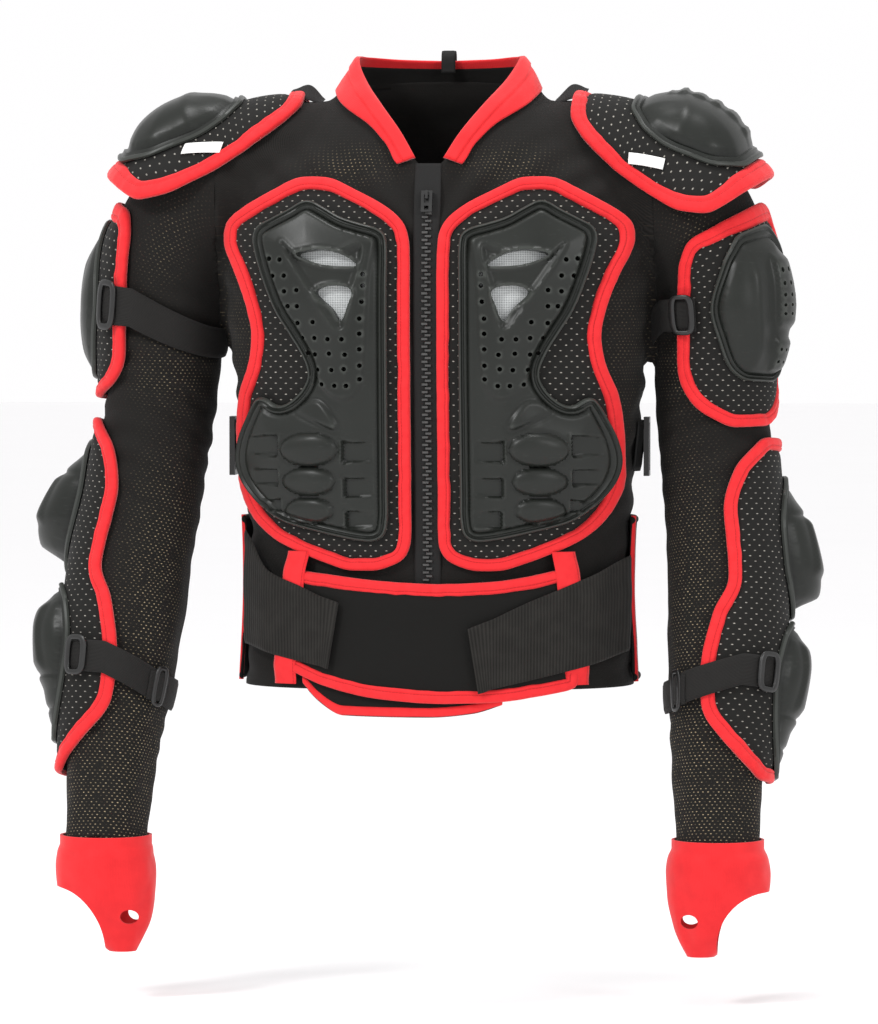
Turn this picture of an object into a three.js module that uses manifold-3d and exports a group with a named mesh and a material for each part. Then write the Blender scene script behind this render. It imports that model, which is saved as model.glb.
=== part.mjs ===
// Motorcycle armor jacket, worn form. Millimetres, +Z up, the chest faces -Y.
// The origin is the centre of the neck opening at the base of the collar.
import * as THREE from 'three';
import { mergeVertices } from 'three/addons/utils/BufferGeometryUtils.js';
import Module from 'manifold-3d';

const wasm = await Module();
wasm.setup();

// Driving sizes of the body
const BODY_LENGTH = 545;
const CHEST_WIDTH = 376;
const CHEST_DEPTH = 250;
const ARMHOLE_EASE = 24;
const ARMHOLE_WIDTH = CHEST_WIDTH + ARMHOLE_EASE;
const NECK_HALF = 88;
const NECK_DROP = 74;
const NECK_RISE = 10;
const ZIP_OPENING = 6;
const FAR = 900;

// Driving sizes of the arms
const ARM_DROP = 690;
const ARM_CLEAR = 112;
const ARM_SPREAD = CHEST_WIDTH / 2 + ARM_CLEAR;
const SLEEVE_RADIUS = 57;

// Cloth, padding and plastic
const CLOTH = 2;
const KNIT = 3;
const PAD = 4.5;
const TRIM_WIDTH = 10.5;
const TRIM_PROUD = 1.2;
const PLASTIC = 3;
const WEBBING = 1.6;
const ELASTIC = 2;
const SEAT = 2.6;
const GAP = 0.35;
const LAYER_GAP = 3;
const PLATE_GAP = 3.4;
const CAP_GAP = 1.8;
const TRIM_GAP = 1;

// Chest panels, and plates that lie inside them
const PANEL_MARGIN = 16;
const PANEL_WIDTH = CHEST_WIDTH / 2 - PANEL_MARGIN;
const PANEL_HEIGHT = 357;
const PANEL_DOWN = 81;
const PANEL_INSET = { left: 15.5, right: 8.5 };
const PLATE_MARGIN = 30;
const PLATE_WIDTH = PANEL_WIDTH - PLATE_MARGIN;
const PLATE_ENDS = 52;
const PLATE_HEIGHT = PANEL_HEIGHT - PLATE_ENDS;
const PLATE_DOWN = PANEL_DOWN + PLATE_ENDS / 2 - 1;
const PLATE_STEP = 20;
const PLATE_INSET = { left: PANEL_INSET.left + PLATE_STEP, right: PANEL_INSET.right + PLATE_STEP };
const PLATE_RELIEF = 7;
const PLATE_FLARE = 9;
const VENT_DIAMETER = 4;

const SIDES = { left: -1, right: 1 };

// Colours
const RED = 0xff3a3e;
const BLACK_MESH = 0x14120f;
const BLACK_PAD = 0x171614;
const PLASTIC_BLACK = 0x3c3e3a;
const WEB_BLACK = 0x101010;
const SILVER = 0xb8bcbc;
const WHITE = 0xf2f2f0;

const cloth = (colour) => new THREE.MeshStandardMaterial({ color: colour, roughness: 0.9 });
const plastic = (colour) => new THREE.MeshStandardMaterial({ color: colour, roughness: 0.45 });

const jacket = new THREE.Group();

// Tables: rows of named columns, read smoothly between the rows

function table(columns, rows) {
  const knots = rows.map((row) => row[0]);
  const samples = rows.flatMap((row) => row.slice(1));
  const reader = new THREE.CubicInterpolant(knots, samples, columns.length - 1);
  return (where) => {
    const first = knots[0];
    const last = knots[knots.length - 1];
    const values = reader.evaluate(Math.min(Math.max(where, first), last));
    return Object.fromEntries(columns.slice(1).map((name, i) => [name, values[i]]));
  };
}

// Geometry helpers

function bare(geometry) {
  const plain = new THREE.BufferGeometry();
  plain.setAttribute('position', geometry.getAttribute('position').clone());
  if (geometry.index) plain.setIndex(geometry.index.clone());
  return mergeVertices(plain, 1e-3);
}

function volumeOf(geometry) {
  const at = geometry.getAttribute('position');
  const index = geometry.index;
  const [a, b, c] = [new THREE.Vector3(), new THREE.Vector3(), new THREE.Vector3()];
  let volume = 0;
  for (let i = 0; i < index.count; i += 3) {
    a.fromBufferAttribute(at, index.getX(i));
    b.fromBufferAttribute(at, index.getX(i + 1));
    c.fromBufferAttribute(at, index.getX(i + 2));
    volume += a.dot(b.cross(c)) / 6;
  }
  return volume;
}

function facingOut(geometry) {
  if (volumeOf(geometry) >= 0) return geometry;
  const index = geometry.index;
  for (let i = 0; i < index.count; i += 3) {
    const first = index.getX(i);
    index.setX(i, index.getX(i + 2));
    index.setX(i + 2, first);
  }
  return geometry;
}

function mapped(geometry, place) {
  const moved = bare(geometry);
  const at = moved.getAttribute('position');
  for (let i = 0; i < at.count; i += 1) {
    const point = place(at.getX(i), at.getY(i), at.getZ(i));
    at.setXYZ(i, point.x, point.y, point.z);
  }
  return facingOut(mergeVertices(moved, 1e-3));
}

function solidOf(geometry) {
  const plain = bare(geometry);
  return new wasm.Manifold(new wasm.Mesh({
    numProp: 3,
    vertProperties: Float32Array.from(plain.getAttribute('position').array),
    triVerts: Uint32Array.from(plain.index.array),
  }));
}

function geometryOf(solid) {
  const mesh = solid.getMesh();
  const geometry = new THREE.BufferGeometry();
  geometry.setAttribute('position', new THREE.BufferAttribute(mesh.vertProperties, 3));
  geometry.setIndex(new THREE.BufferAttribute(mesh.triVerts, 1));
  return geometry;
}

function boxSolid(low, high) {
  const size = new THREE.Vector3().subVectors(high, low);
  const box = new THREE.BoxGeometry(size.x, size.y, size.z);
  box.translate((low.x + high.x) / 2, (low.y + high.y) / 2, (low.z + high.z) / 2);
  return solidOf(box);
}

function add(name, geometry, material) {
  const mesh = new THREE.Mesh(geometry, material);
  mesh.name = name;
  jacket.add(mesh);
}

// A loop goes down the far edge of a table of rows and back up its near edge
function loopOf(rows, toFlat) {
  const far = rows.map((row) => toFlat(row[2], row[0]));
  const near = rows.map((row) => toFlat(row[1], row[0]));
  return [...far, ...near.reverse()];
}

function inset(loop, distance) {
  const turn = THREE.ShapeUtils.isClockWise(loop) ? -1 : 1;
  return loop.map((point, i) => {
    const before = loop[(i + loop.length - 1) % loop.length];
    const after = loop[(i + 1) % loop.length];
    const ahead = new THREE.Vector2().subVectors(after, point).normalize();
    const behind = new THREE.Vector2().subVectors(point, before).normalize();
    const inward = new THREE.Vector2(-ahead.y - behind.y, ahead.x + behind.x).normalize();
    const sharp = Math.max(0.6, Math.sqrt((1 + ahead.dot(behind)) / 2));
    return point.clone().addScaledVector(inward, turn * distance / sharp);
  });
}

// A leaf fills a loop with rows of cells; place lays (u, v, thickness share) on a skin
function leaf(loop, lanes, place) {
  const steps = loop.length / 2 - 1;
  const sheet = new THREE.BoxGeometry(1, 1, 1, lanes, steps, 1);
  return mapped(sheet, (x, y, z) => {
    const step = Math.round((0.5 - y) * steps);
    const flat = loop[loop.length - 1 - step].clone().lerp(loop[step], x + 0.5);
    return place(flat.x, flat.y, z + 0.5);
  });
}

// A binding is a closed ring of four-sided section between a loop and the same loop inset
function binding(loop, width, place) {
  const inner = inset(loop, width);
  const ring = new THREE.TorusGeometry(4, 1, 4, loop.length);
  return mapped(ring, (x, y, z) => {
    const turn = Math.atan2(y, x) / (2 * Math.PI);
    const station = (Math.round(turn * loop.length) + loop.length) % loop.length;
    const away = Math.hypot(x, y) - 4;
    const edge = Math.abs(away) > 0.5 ? (away > 0 ? loop : inner) : null;
    if (edge) return place(edge[station].x, edge[station].y, away > 0 ? 0 : 1);
    return z > 0
      ? place(loop[station].x, loop[station].y, 1)
      : place(inner[station].x, inner[station].y, 0);
  });
}

// A band is a strip that runs 0..1 along and -0.5..0.5 across, with a thickness of 0..1
function band(steps, lanes, place) {
  const strip = new THREE.BoxGeometry(1, 1, 1, steps, lanes, 1);
  return mapped(strip, (x, y, z) => place(x + 0.5, y, z + 0.5));
}

// The skin of the body: a table of level sections from the neck down to the hem

const bodySection = table(['down', 'half', 'front', 'back', 'round'], [
  [0.00, 0.47, 0.53, 0.56, 2.0],
  [0.04, 0.62, 0.65, 0.66, 2.1],
  [0.09, 0.80, 0.78, 0.80, 2.3],
  [0.15, 0.97, 0.90, 0.90, 2.7],
  [0.24, 1.035, 1.02, 0.97, 2.9],
  [0.34, 1.035, 1.06, 0.99, 2.9],
  [0.46, 1.01, 1.04, 0.95, 2.8],
  [0.58, 0.975, 0.99, 0.90, 2.6],
  [0.70, 0.94, 0.94, 0.87, 2.4],
  [0.84, 0.93, 0.93, 0.90, 2.4],
  [1.00, 0.95, 0.95, 0.94, 2.4],
]);

// Angle 0 is the middle of the chest, a quarter turn is the wearer's side at +X
function bodyLevel(angle, z, lift) {
  const row = bodySection(-z / BODY_LENGTH);
  const sine = Math.sin(angle);
  const cosine = Math.cos(angle);
  const depth = (cosine > 0 ? row.front : row.back) * CHEST_DEPTH / 2 + lift;
  const half = row.half * CHEST_WIDTH / 2 + lift;
  const bend = 2 / row.round;
  return new THREE.Vector3(
    half * Math.sign(sine) * Math.abs(sine) ** bend,
    -depth * Math.sign(cosine) * Math.abs(cosine) ** bend,
    z,
  );
}

function bodySkin(angle, z, lift) {
  const step = 0.02;
  const point = bodyLevel(angle, z, 0);
  const around = bodyLevel(angle + step, z, 0).sub(bodyLevel(angle - step, z, 0));
  const along = bodyLevel(angle, z + 1, 0).sub(bodyLevel(angle, z - 1, 0));
  return point.addScaledVector(around.cross(along).normalize(), lift);
}

// A place on the chest, given by its distance from the middle plane
function chestSkin(x, z, lift) {
  const row = bodySection(-z / BODY_LENGTH);
  const share = Math.min(Math.abs(x) / (row.half * CHEST_WIDTH / 2), 0.995);
  return bodySkin(Math.sign(x) * Math.asin(share ** (row.round / 2)), z, lift);
}

// The skin of a sleeve: a table of sections along the arm, from inside the shoulder to the wrist

const SLEEVE_COLUMNS = ['step', 'out', 'down', 'forward', 'half', 'deep'];
const SLEEVE_ROWS = {
  left: [
    [0, 0.33, 0.108, 0.00, 1.14, 1.22],
    [1, 0.53, 0.116, 0.00, 1.18, 1.28],
    [2, 0.70, 0.150, 0.00, 1.16, 1.28],
    [3, 0.81, 0.218, 0.00, 1.08, 1.18],
    [4, 0.85, 0.306, 0.00, 1.00, 1.09],
    [5, 0.86, 0.413, 0.00, 0.92, 1.00],
    [6, 0.90, 0.536, 0.02, 0.92, 1.00],
    [7, 0.943, 0.638, 0.04, 0.95, 0.99],
    [8, 0.965, 0.732, 0.08, 0.92, 0.95],
    [9, 0.997, 0.874, 0.14, 0.77, 0.82],
    [10, 1.007, 1.000, 0.20, 0.66, 0.72],
  ],
  right: [
    [0, 0.33, 0.108, 0.00, 1.14, 1.22],
    [1, 0.53, 0.116, 0.00, 1.18, 1.28],
    [2, 0.70, 0.150, 0.00, 1.16, 1.28],
    [3, 0.81, 0.218, 0.00, 1.06, 1.18],
    [4, 0.837, 0.306, 0.00, 0.98, 1.09],
    [5, 0.835, 0.413, 0.01, 0.92, 1.00],
    [6, 0.858, 0.536, 0.03, 0.91, 1.00],
    [7, 0.873, 0.638, 0.06, 0.92, 0.99],
    [8, 0.875, 0.732, 0.10, 0.92, 0.95],
    [9, 0.865, 0.874, 0.17, 0.78, 0.82],
    [10, 0.863, 1.000, 0.22, 0.66, 0.72],
  ],
};

function sleeveOf(hand) {
  const rows = SLEEVE_ROWS[hand];
  const section = table(SLEEVE_COLUMNS, rows);
  const centre = (row) => new THREE.Vector3(
    SIDES[hand] * row.out * ARM_SPREAD,
    -row.forward * ARM_SPREAD,
    -row.down * ARM_DROP,
  );
  const path = new THREE.CatmullRomCurve3(rows.map((row) => centre(section(row[0]))), false);
  path.arcLengthDivisions = 400;
  const length = path.getLength();
  const last = rows.length - 1;

  const level = (distance, angle, lift) => {
    const share = Math.min(Math.max(distance / length, 0), 1);
    const t = path.getUtoTmapping(share);
    const row = section(t * last);
    const along = path.getTangent(t);
    const front = new THREE.Vector3(0, -1, 0);
    front.addScaledVector(along, -front.dot(along)).normalize();
    const outward = new THREE.Vector3().crossVectors(along, front).multiplyScalar(-SIDES[hand]);
    const beyond = distance - share * length;
    return path.getPoint(t)
      .addScaledVector(along, beyond)
      .addScaledVector(outward, (row.half * SLEEVE_RADIUS + lift) * Math.cos(angle))
      .addScaledVector(front, (row.deep * SLEEVE_RADIUS + lift) * Math.sin(angle));
  };
  const radius = (distance) => {
    const row = section(path.getUtoTmapping(Math.min(distance / length, 1)) * last);
    return (row.half + row.deep) / 2 * SLEEVE_RADIUS;
  };
  return { hand, length, level, radius };
}

const SLEEVES = { left: sleeveOf('left'), right: sleeveOf('right') };

// Tubes for the body and the sleeves, joined and hollowed, then parted at the armholes

const BODY_STEPS = 9;
const BODY_SIDES = 22;
const SLEEVE_STEPS = 11;
const SLEEVE_SIDES = 12;
const OPEN_END = 12;

function bodyTube(lift, over) {
  const tube = new THREE.CylinderGeometry(1, 1, 1, BODY_SIDES, BODY_STEPS);
  return solidOf(mapped(tube, (x, y, z) => {
    const edge = Math.hypot(x, z);
    const share = (0.5 - y) ** 1.25;
    const down = share * BODY_LENGTH;
    const point = bodyLevel(Math.atan2(x, z), -down, lift);
    point.x *= edge;
    point.y *= edge;
    if (y >= 0.5) point.z += over + NECK_RISE * Math.max(0, point.y / (CHEST_DEPTH / 4));
    if (y <= -0.5) point.z -= over;
    return point;
  }));
}

function sleeveTube(hand, lift, over) {
  const sleeve = SLEEVES[hand];
  const tube = new THREE.CylinderGeometry(1, 1, 1, SLEEVE_SIDES, SLEEVE_STEPS);
  return solidOf(mapped(tube, (x, y, z) => {
    const edge = Math.hypot(x, z);
    const start = y >= 0.5 && lift < 0 ? -lift : 0;
    const distance = (0.5 - y) * sleeve.length + start + (y <= -0.5 ? over : 0);
    const middle = sleeve.level(distance, 0, 0).add(sleeve.level(distance, Math.PI, 0))
      .multiplyScalar(0.5);
    return middle.lerp(sleeve.level(distance, Math.atan2(x, z), lift), edge);
  }));
}


function shells() {
  let outer = bodyTube(0, 0);
  let inner = bodyTube(-CLOTH, OPEN_END);
  for (const hand of Object.keys(SIDES)) {
    outer = outer.add(sleeveTube(hand, 0, 0));
    inner = inner.add(sleeveTube(hand, -CLOTH, OPEN_END));
  }
  const neckline = new THREE.ExtrudeGeometry(new THREE.Shape([
    new THREE.Vector2(-NECK_HALF, OPEN_END),
    new THREE.Vector2(-ZIP_OPENING, -NECK_DROP),
    new THREE.Vector2(ZIP_OPENING, -NECK_DROP),
    new THREE.Vector2(NECK_HALF, OPEN_END),
  ]), { depth: CHEST_DEPTH, bevelEnabled: false });
  neckline.rotateX(Math.PI / 2);
  const slit = boxSolid(
    new THREE.Vector3(-ZIP_OPENING / 2, -CHEST_DEPTH, -FAR),
    new THREE.Vector3(ZIP_OPENING / 2, 0, 0),
  );
  const shell = outer.subtract(inner).subtract(solidOf(neckline)).subtract(slit);
  const half = ARMHOLE_WIDTH / 2;
  const middle = boxSolid(
    new THREE.Vector3(-half + GAP / 2, -FAR, -FAR),
    new THREE.Vector3(half - GAP / 2, FAR, FAR),
  );
  const parts = { torso_shell: shell.intersect(middle) };
  for (const [hand, side] of Object.entries(SIDES)) {
    const outside = boxSolid(
      new THREE.Vector3(side > 0 ? half + GAP / 2 : -FAR, -FAR, -FAR),
      new THREE.Vector3(side > 0 ? FAR : -half - GAP / 2, FAR, FAR),
    );
    parts[`sleeve_${hand}`] = shell.intersect(outside);
  }
  return parts;
}

for (const [name, solid] of Object.entries(shells())) {
  add(name, geometryOf(solid), cloth(BLACK_MESH));
}

// The room that the cloth takes, grown by a gap: what lies on the jacket is trimmed to it
const WORN = bodyTube(GAP, 0).add(sleeveTube('left', GAP, GAP)).add(sleeveTube('right', GAP, GAP));

function seated(geometry, ...below) {
  let solid = solidOf(geometry);
  for (const room of below) solid = solid.subtract(room);
  return geometryOf(solid);
}

// Chest panels: padding inside a red binding, with the hard plate on top.
// Rows go down a panel; near is its edge at the zip, far its edge at the wearer's side.

const CHEST_PANEL = [
  [0.008, 0.420, 0.600], [0.040, 0.290, 0.727], [0.080, 0.130, 0.880], [0.120, 0.035, 0.985],
  [0.160, 0.005, 0.995], [0.250, 0.000, 0.920], [0.340, 0.000, 0.855], [0.400, 0.000, 0.832],
  [0.470, 0.000, 0.850], [0.550, 0.000, 0.912], [0.650, 0.000, 0.934], [0.760, 0.000, 0.936],
  [0.850, 0.000, 0.870], [0.920, 0.000, 0.730], [0.965, 0.030, 0.530], [0.998, 0.170, 0.340],
];
const CHEST_PLATE = [
  [0.005, 0.460, 0.540], [0.080, 0.050, 0.820], [0.110, 0.000, 0.850], [0.220, 0.000, 0.770],
  [0.320, 0.000, 0.695], [0.430, 0.000, 0.550], [0.515, 0.000, 0.506], [0.572, 0.000, 0.640],
  [0.580, 0.000, 0.790], [0.680, 0.000, 0.960], [0.750, 0.000, 1.000], [0.850, 0.000, 0.890],
  [0.930, 0.000, 0.690], [0.965, 0.050, 0.500], [0.998, 0.160, 0.240],
];
const WINDOWS = [
  { down: 0.166, across: 0.385, tall: 0.030, wide: 0.33 },
  { down: 0.285, across: 0.325, tall: 0.075, wide: 0.17 },
];
const VENTS = [
  [0.190, 0.690], [0.256, 0.590], [0.325, 0.560], [0.395, 0.500], [0.395, 0.300],
  [0.440, 0.435], [0.440, 0.247], [0.485, 0.340], [0.530, 0.390], [0.530, 0.240],
  [0.220, 0.143], [0.320, 0.155], [0.420, 0.162], [0.512, 0.162],
];
const OVALS = [
  { down: 0.717, across: 0.481, wide: 0.338, tall: 0.095 },
  { down: 0.813, across: 0.481, wide: 0.31, tall: 0.085 },
  { down: 0.904, across: 0.487, wide: 0.282, tall: 0.079 },
];
const OVAL_RELIEF = 6;
const MESH_THICK = 0.7;
const MESH_GAP = 1.1;
const MESH_PATCH = [[0.13, 0.14, 0.6], [0.24, 0.14, 0.6], [0.36, 0.18, 0.46]];
const PLATE_LIFT = SEAT + PAD + PLATE_GAP;
const PLATE_CLEAR = 0.6;

// A round-ended tool through the plate, laid on the chest
function plateTool(hand, down, across, wide, tall, corners) {
  const side = SIDES[hand];
  const pin = new THREE.CylinderGeometry(1, 1, 1, corners);
  pin.rotateX(Math.PI / 2);
  const u = PLATE_INSET[hand] + across * PLATE_WIDTH;
  const v = -PLATE_DOWN - down * PLATE_HEIGHT;
  return solidOf(mapped(pin, (x, y, z) => chestSkin(
    side * (u + x * wide / 2),
    v + y * tall / 2,
    PLATE_LIFT + z * 4 * (PLASTIC + PLATE_RELIEF),
  )));
}

function chestPanel(hand) {
  const side = SIDES[hand];
  const raised = (base, thickness) => (u, v, w) => (
    chestSkin(side * u, v, base + w * thickness(u, v)));
  const panelFlat = (across, down) => new THREE.Vector2(
    PANEL_INSET[hand] + across * PANEL_WIDTH, -PANEL_DOWN - down * PANEL_HEIGHT);
  const plateFlat = (across, down) => new THREE.Vector2(
    PLATE_INSET[hand] + across * PLATE_WIDTH, -PLATE_DOWN - down * PLATE_HEIGHT);

  const panel = loopOf(CHEST_PANEL, panelFlat);
  const edge = (extra) => binding(inset(panel, -extra), TRIM_WIDTH + 2 * extra,
    raised(SEAT, () => PAD + TRIM_PROUD + extra));
  const fill = (extra) => (
    leaf(inset(panel, TRIM_WIDTH + TRIM_GAP - extra), 4, raised(SEAT, () => PAD + extra)));
  add(`chest_trim_${hand}`, seated(edge(0), WORN), cloth(RED));
  add(`chest_pad_${hand}`, seated(fill(0), WORN), cloth(BLACK_PAD));

  const crown = (u, v) => {
    const across = (u - PLATE_INSET[hand]) / PLATE_WIDTH - 0.42;
    const down = (-v - PLATE_DOWN) / PLATE_HEIGHT - 0.45;
    return PLASTIC + PLATE_RELIEF * Math.max(0, 1 - (across / 0.6) ** 2 - (down / 0.62) ** 2);
  };
  const flared = (u, v, w) => {
    const flare = Math.max(0, (u - PLATE_INSET[hand]) / PLATE_WIDTH - 0.5) * PLATE_FLARE;
    return chestSkin(side * u, v, PLATE_LIFT + flare + w * crown(u, v));
  };
  let plate = solidOf(leaf(loopOf(CHEST_PLATE, plateFlat), 4, flared));
  for (const oval of OVALS) {
    const centre = plateFlat(oval.across, oval.down);
    const dome = new THREE.SphereGeometry(1, 7, 3);
    dome.rotateX(Math.PI / 2);
    plate = plate.add(solidOf(mapped(dome, (x, y, z) => chestSkin(
      side * (centre.x + x * oval.wide * PLATE_WIDTH / 2),
      centre.y + y * oval.tall * PLATE_HEIGHT / 2,
      PLATE_LIFT + PLASTIC / 2 + (z > 0 ? z * (OVAL_RELIEF + PLASTIC / 2) : z * PLASTIC / 4),
    ))));
  }
  for (const [down, across] of VENTS) {
    plate = plate.subtract(plateTool(hand, down, across, VENT_DIAMETER, VENT_DIAMETER, 3));
  }
  for (const window of WINDOWS) {
    const [wide, tall] = [window.wide * PLATE_WIDTH, window.tall * PLATE_HEIGHT];
    plate = plate.subtract(plateTool(hand, window.down, window.across, wide, tall, 8));
  }
  plate = plate.subtract(solidOf(edge(PLATE_CLEAR))).subtract(solidOf(fill(PLATE_CLEAR)));
  add(`chest_plate_${hand}`, geometryOf(plate), plastic(PLASTIC_BLACK));
  add(`chest_mesh_${hand}`,
    leaf(loopOf(MESH_PATCH, plateFlat), 2, raised(SEAT + PAD + MESH_GAP, () => MESH_THICK)),
    cloth(SILVER));
}

for (const hand of Object.keys(SIDES)) chestPanel(hand);

// Arm pads: leaves on the sleeve skin, symmetric about their middle line.
// Places along the arm are shares of ARM_DROP, half widths and rises are shares of SLEEVE_RADIUS
// (left and right apart where the two arms differ),
// and the rows of a shape are shares of the piece's own length and half width.

const ARM_PIECES = {
  shoulder: {
    pad: { from: 0.03188, length: 0.1855, half: 1.368, twist: { left: 0, right: 0.3 } },
    shape: [[0, 0.34], [0.12, 0.55], [0.35, 0.8], [0.6, 0.95], [0.82, 1], [1, 0.86]],
    caps: [{
      name: 'shoulder_cap', from: 0.08986, length: 0.1101, half: 0.9123, rise: 0.3509, crown: 0.5,
      twist: { left: 0.05, right: 0.25 },
      shape: [[0, 0.45], [0.2, 0.85], [0.5, 1], [0.8, 0.9], [1, 0.5]],
    }],
  },
  upper_arm: {
    pad: {
      from: 0.2304, length: { left: 0.2261, right: 0.2609 }, half: 1.281,
      twist: { left: -0.14, right: 0.85 },
    },
    shape: [[0, 0.75], [0.12, 0.95], [0.4, 1], [0.7, 0.95], [0.88, 0.72], [1, 0.3]],
    caps: [{
      name: 'upper_arm_cap', from: 0.2493, length: 0.1768, half: 0.8421, rise: 0.2456, crown: 0.5,
      twist: { left: -0.35, right: 0.75 },
      shape: [[0, 0.4], [0.12, 0.75], [0.45, 1], [0.75, 0.8], [0.92, 0.6], [1, 0.35]],
    }],
  },
  forearm: {
    pad: {
      from: { left: 0.4855, right: 0.5072 }, length: { left: 0.4739, right: 0.4522 }, half: 1.579,
      twist: { left: -0.12, right: 0.15 },
    },
    shape: [
      [0, 0.3], [0.09, 0.66], [0.22, 0.8], [0.42, 0.78], [0.52, 0.93], [0.66, 1],
      [0.8, 0.93], [0.91, 0.62], [1, 0.22],
    ],
    caps: [{
      name: 'elbow_cap', from: { left: 0.5087, right: 0.5435 }, length: 0.1797,
      half: 0.7368, rise: 0.6316, crown: 0.62,
      twist: { left: -0.5, right: -0.4 },
      shape: [[0, 0.4], [0.15, 0.8], [0.4, 1], [0.65, 0.95], [0.85, 0.7], [1, 0.35]],
    }, {
      name: 'forearm_cap', from: { left: 0.7014, right: 0.7333 }, length: 0.2029,
      half: 0.7368, rise: 0.4912, crown: 0.4,
      twist: { left: -0.1, right: -0.25 },
      shape: [[0, 0.45], [0.12, 0.85], [0.35, 1], [0.6, 0.85], [0.82, 0.6], [1, 0.3]],
    }],
  },
};
const CAP_FLANGE = 0.82;
const CAP_LIFT = SEAT + PAD + CAP_GAP;

function sized(piece, hand) {
  const own = (size) => size[hand] ?? size;
  return {
    ...piece,
    from: own(piece.from) * ARM_DROP,
    length: own(piece.length) * ARM_DROP,
    half: piece.half * SLEEVE_RADIUS,
    rise: (piece.rise ?? 0) * SLEEVE_RADIUS,
  };
}

function armLoop(shape, length, half) {
  return loopOf(shape.map(([along, share]) => [along, -share, share]), (across, along) => (
    new THREE.Vector2(across * half, -along * length)));
}

function onSleeve(hand, from, twist, base, thickness) {
  const sleeve = SLEEVES[hand];
  return (u, v, w) => {
    const distance = from - v;
    const angle = twist + u / sleeve.radius(distance);
    return sleeve.level(distance, angle, base + w * thickness(u, v));
  };
}

function capRise(cap) {
  return (u, v) => {
    const along = -v / cap.length;
    const row = cap.shape.findIndex(([at]) => at >= along - 1e-6);
    const [after, before] = [cap.shape[row], cap.shape[Math.max(row - 1, 0)]];
    const mix = after[0] > before[0] ? (along - before[0]) / (after[0] - before[0]) : 0;
    const half = cap.half * (before[1] + (after[1] - before[1]) * mix);
    const side = Math.min(Math.abs(u) / half / CAP_FLANGE, 1);
    const end = Math.min(Math.abs(along - cap.crown) / (along > cap.crown ? 1 - cap.crown : cap.crown), 1);
    return PLASTIC + cap.rise * Math.max(0, 1 - side ** 2.5) * Math.max(0, 1 - end ** 2.5);
  };
}

function armPieces(hand) {
  for (const [name, piece] of Object.entries(ARM_PIECES)) {
    const { from, length, half, twist } = sized(piece.pad, hand);
    const loop = armLoop(piece.shape, length, half);
    const edge = (extra) => binding(inset(loop, -extra), TRIM_WIDTH + 2 * extra,
      onSleeve(hand, from, twist[hand], SEAT, () => PAD + TRIM_PROUD + extra));
    const fill = (extra) => leaf(inset(loop, TRIM_WIDTH + TRIM_GAP - extra), 5,
      onSleeve(hand, from, twist[hand], SEAT, () => PAD + extra));
    add(`${name}_trim_${hand}`, seated(edge(0), WORN), cloth(RED));
    add(`${name}_pad_${hand}`, seated(fill(0), WORN), cloth(BLACK_PAD));
    for (const cap of piece.caps.map((each) => sized(each, hand))) {
      const line = armLoop(cap.shape, cap.length, cap.half);
      const place = onSleeve(hand, cap.from, cap.twist[hand], CAP_LIFT, capRise(cap));
      add(`${cap.name}_${hand}`,
        seated(leaf(line, 4, place), solidOf(edge(GAP)), solidOf(fill(GAP))),
        plastic(PLASTIC_BLACK));
    }
  }
}

for (const hand of Object.keys(SIDES)) armPieces(hand);

// Straps round the arms, each through a ring that lies at the front edge of a cap

const ARM_STRAPS = {
  upper_arm: {
    at: { left: 0.3304, right: 0.3362 }, dip: 27, width: 33, hug: { left: 1.0, right: 2.2 },
    from: { left: 0.66, right: 1.76 }, to: { left: 4.9, right: 5.98 },
    ring: { wide: 21, tall: 41, bar: 5 },
  },
  forearm: {
    at: { left: 0.8116, right: 0.8203 }, dip: 22, width: 29, hug: { left: 1.7, right: 1.9 },
    from: { left: 0.78, right: 0.62 }, to: { left: 5.2, right: 5.0 },
    ring: { wide: 20, tall: 37, bar: 5 },
  },
};
const STRAP_LIFT = SEAT + PAD + TRIM_PROUD + 1.8;
const STRAP_STEPS = 12;
const STRAP_FALL = 0.6;
const STRAP_EASE = 0.1;
const RING_THICK = 3.5;
const RING_CORNERS = 8;
const RING_CLEAR = 0.4;

function armStraps(hand) {
  const sleeve = SLEEVES[hand];
  for (const [name, strap] of Object.entries(ARM_STRAPS)) {
    const [from, to] = [strap.from[hand], strap.to[hand]];
    const at = strap.at[hand] * ARM_DROP;
    const middle = (from + to) / 2;
    const distance = (angle) => (
      at + strap.dip * Math.cos(Math.min(Math.abs(angle - middle), Math.PI / 2)));
    const { half, twist } = sized(ARM_PIECES[name].pad, hand);
    const padEdge = Math.min(strap.hug[hand], half / sleeve.radius(at) + twist[hand]);
    const lift = (angle) => {
      const past = Math.min(angle - padEdge, 2 * Math.PI + 2 * twist[hand] - padEdge - angle) - STRAP_EASE;
      return STRAP_LIFT - (STRAP_LIFT - SEAT) * Math.min(Math.max(past / STRAP_FALL, 0), 1);
    };
    add(`${name}_strap_${hand}`, seated(band(STRAP_STEPS, 1, (along, across, w) => {
      const angle = from + along * (to - from);
      return sleeve.level(distance(angle) + across * strap.width, angle, lift(angle) + w * ELASTIC);
    }), WORN), cloth(WEB_BLACK));

    const { wide, tall, bar } = strap.ring;
    const corners = [];
    for (let corner = 0; corner < RING_CORNERS; corner += 1) {
      const turn = (corner + 0.5) / RING_CORNERS * 2 * Math.PI;
      const round = (value) => Math.sign(value) * Math.abs(value) ** 0.5;
      corners.push(new THREE.Vector2(
        round(Math.cos(turn)) * wide / 2,
        round(Math.sin(turn)) * tall / 2,
      ));
    }
    const centre = from + wide / 2 / sleeve.radius(at);
    add(`${name}_ring_${hand}`, binding(corners, bar, (u, v, w) => sleeve.level(
      distance(centre) - v,
      centre + u / sleeve.radius(at),
      STRAP_LIFT + ELASTIC + GAP + w * RING_THICK + RING_CLEAR,
    )), plastic(WEB_BLACK));
  }
}

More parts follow.
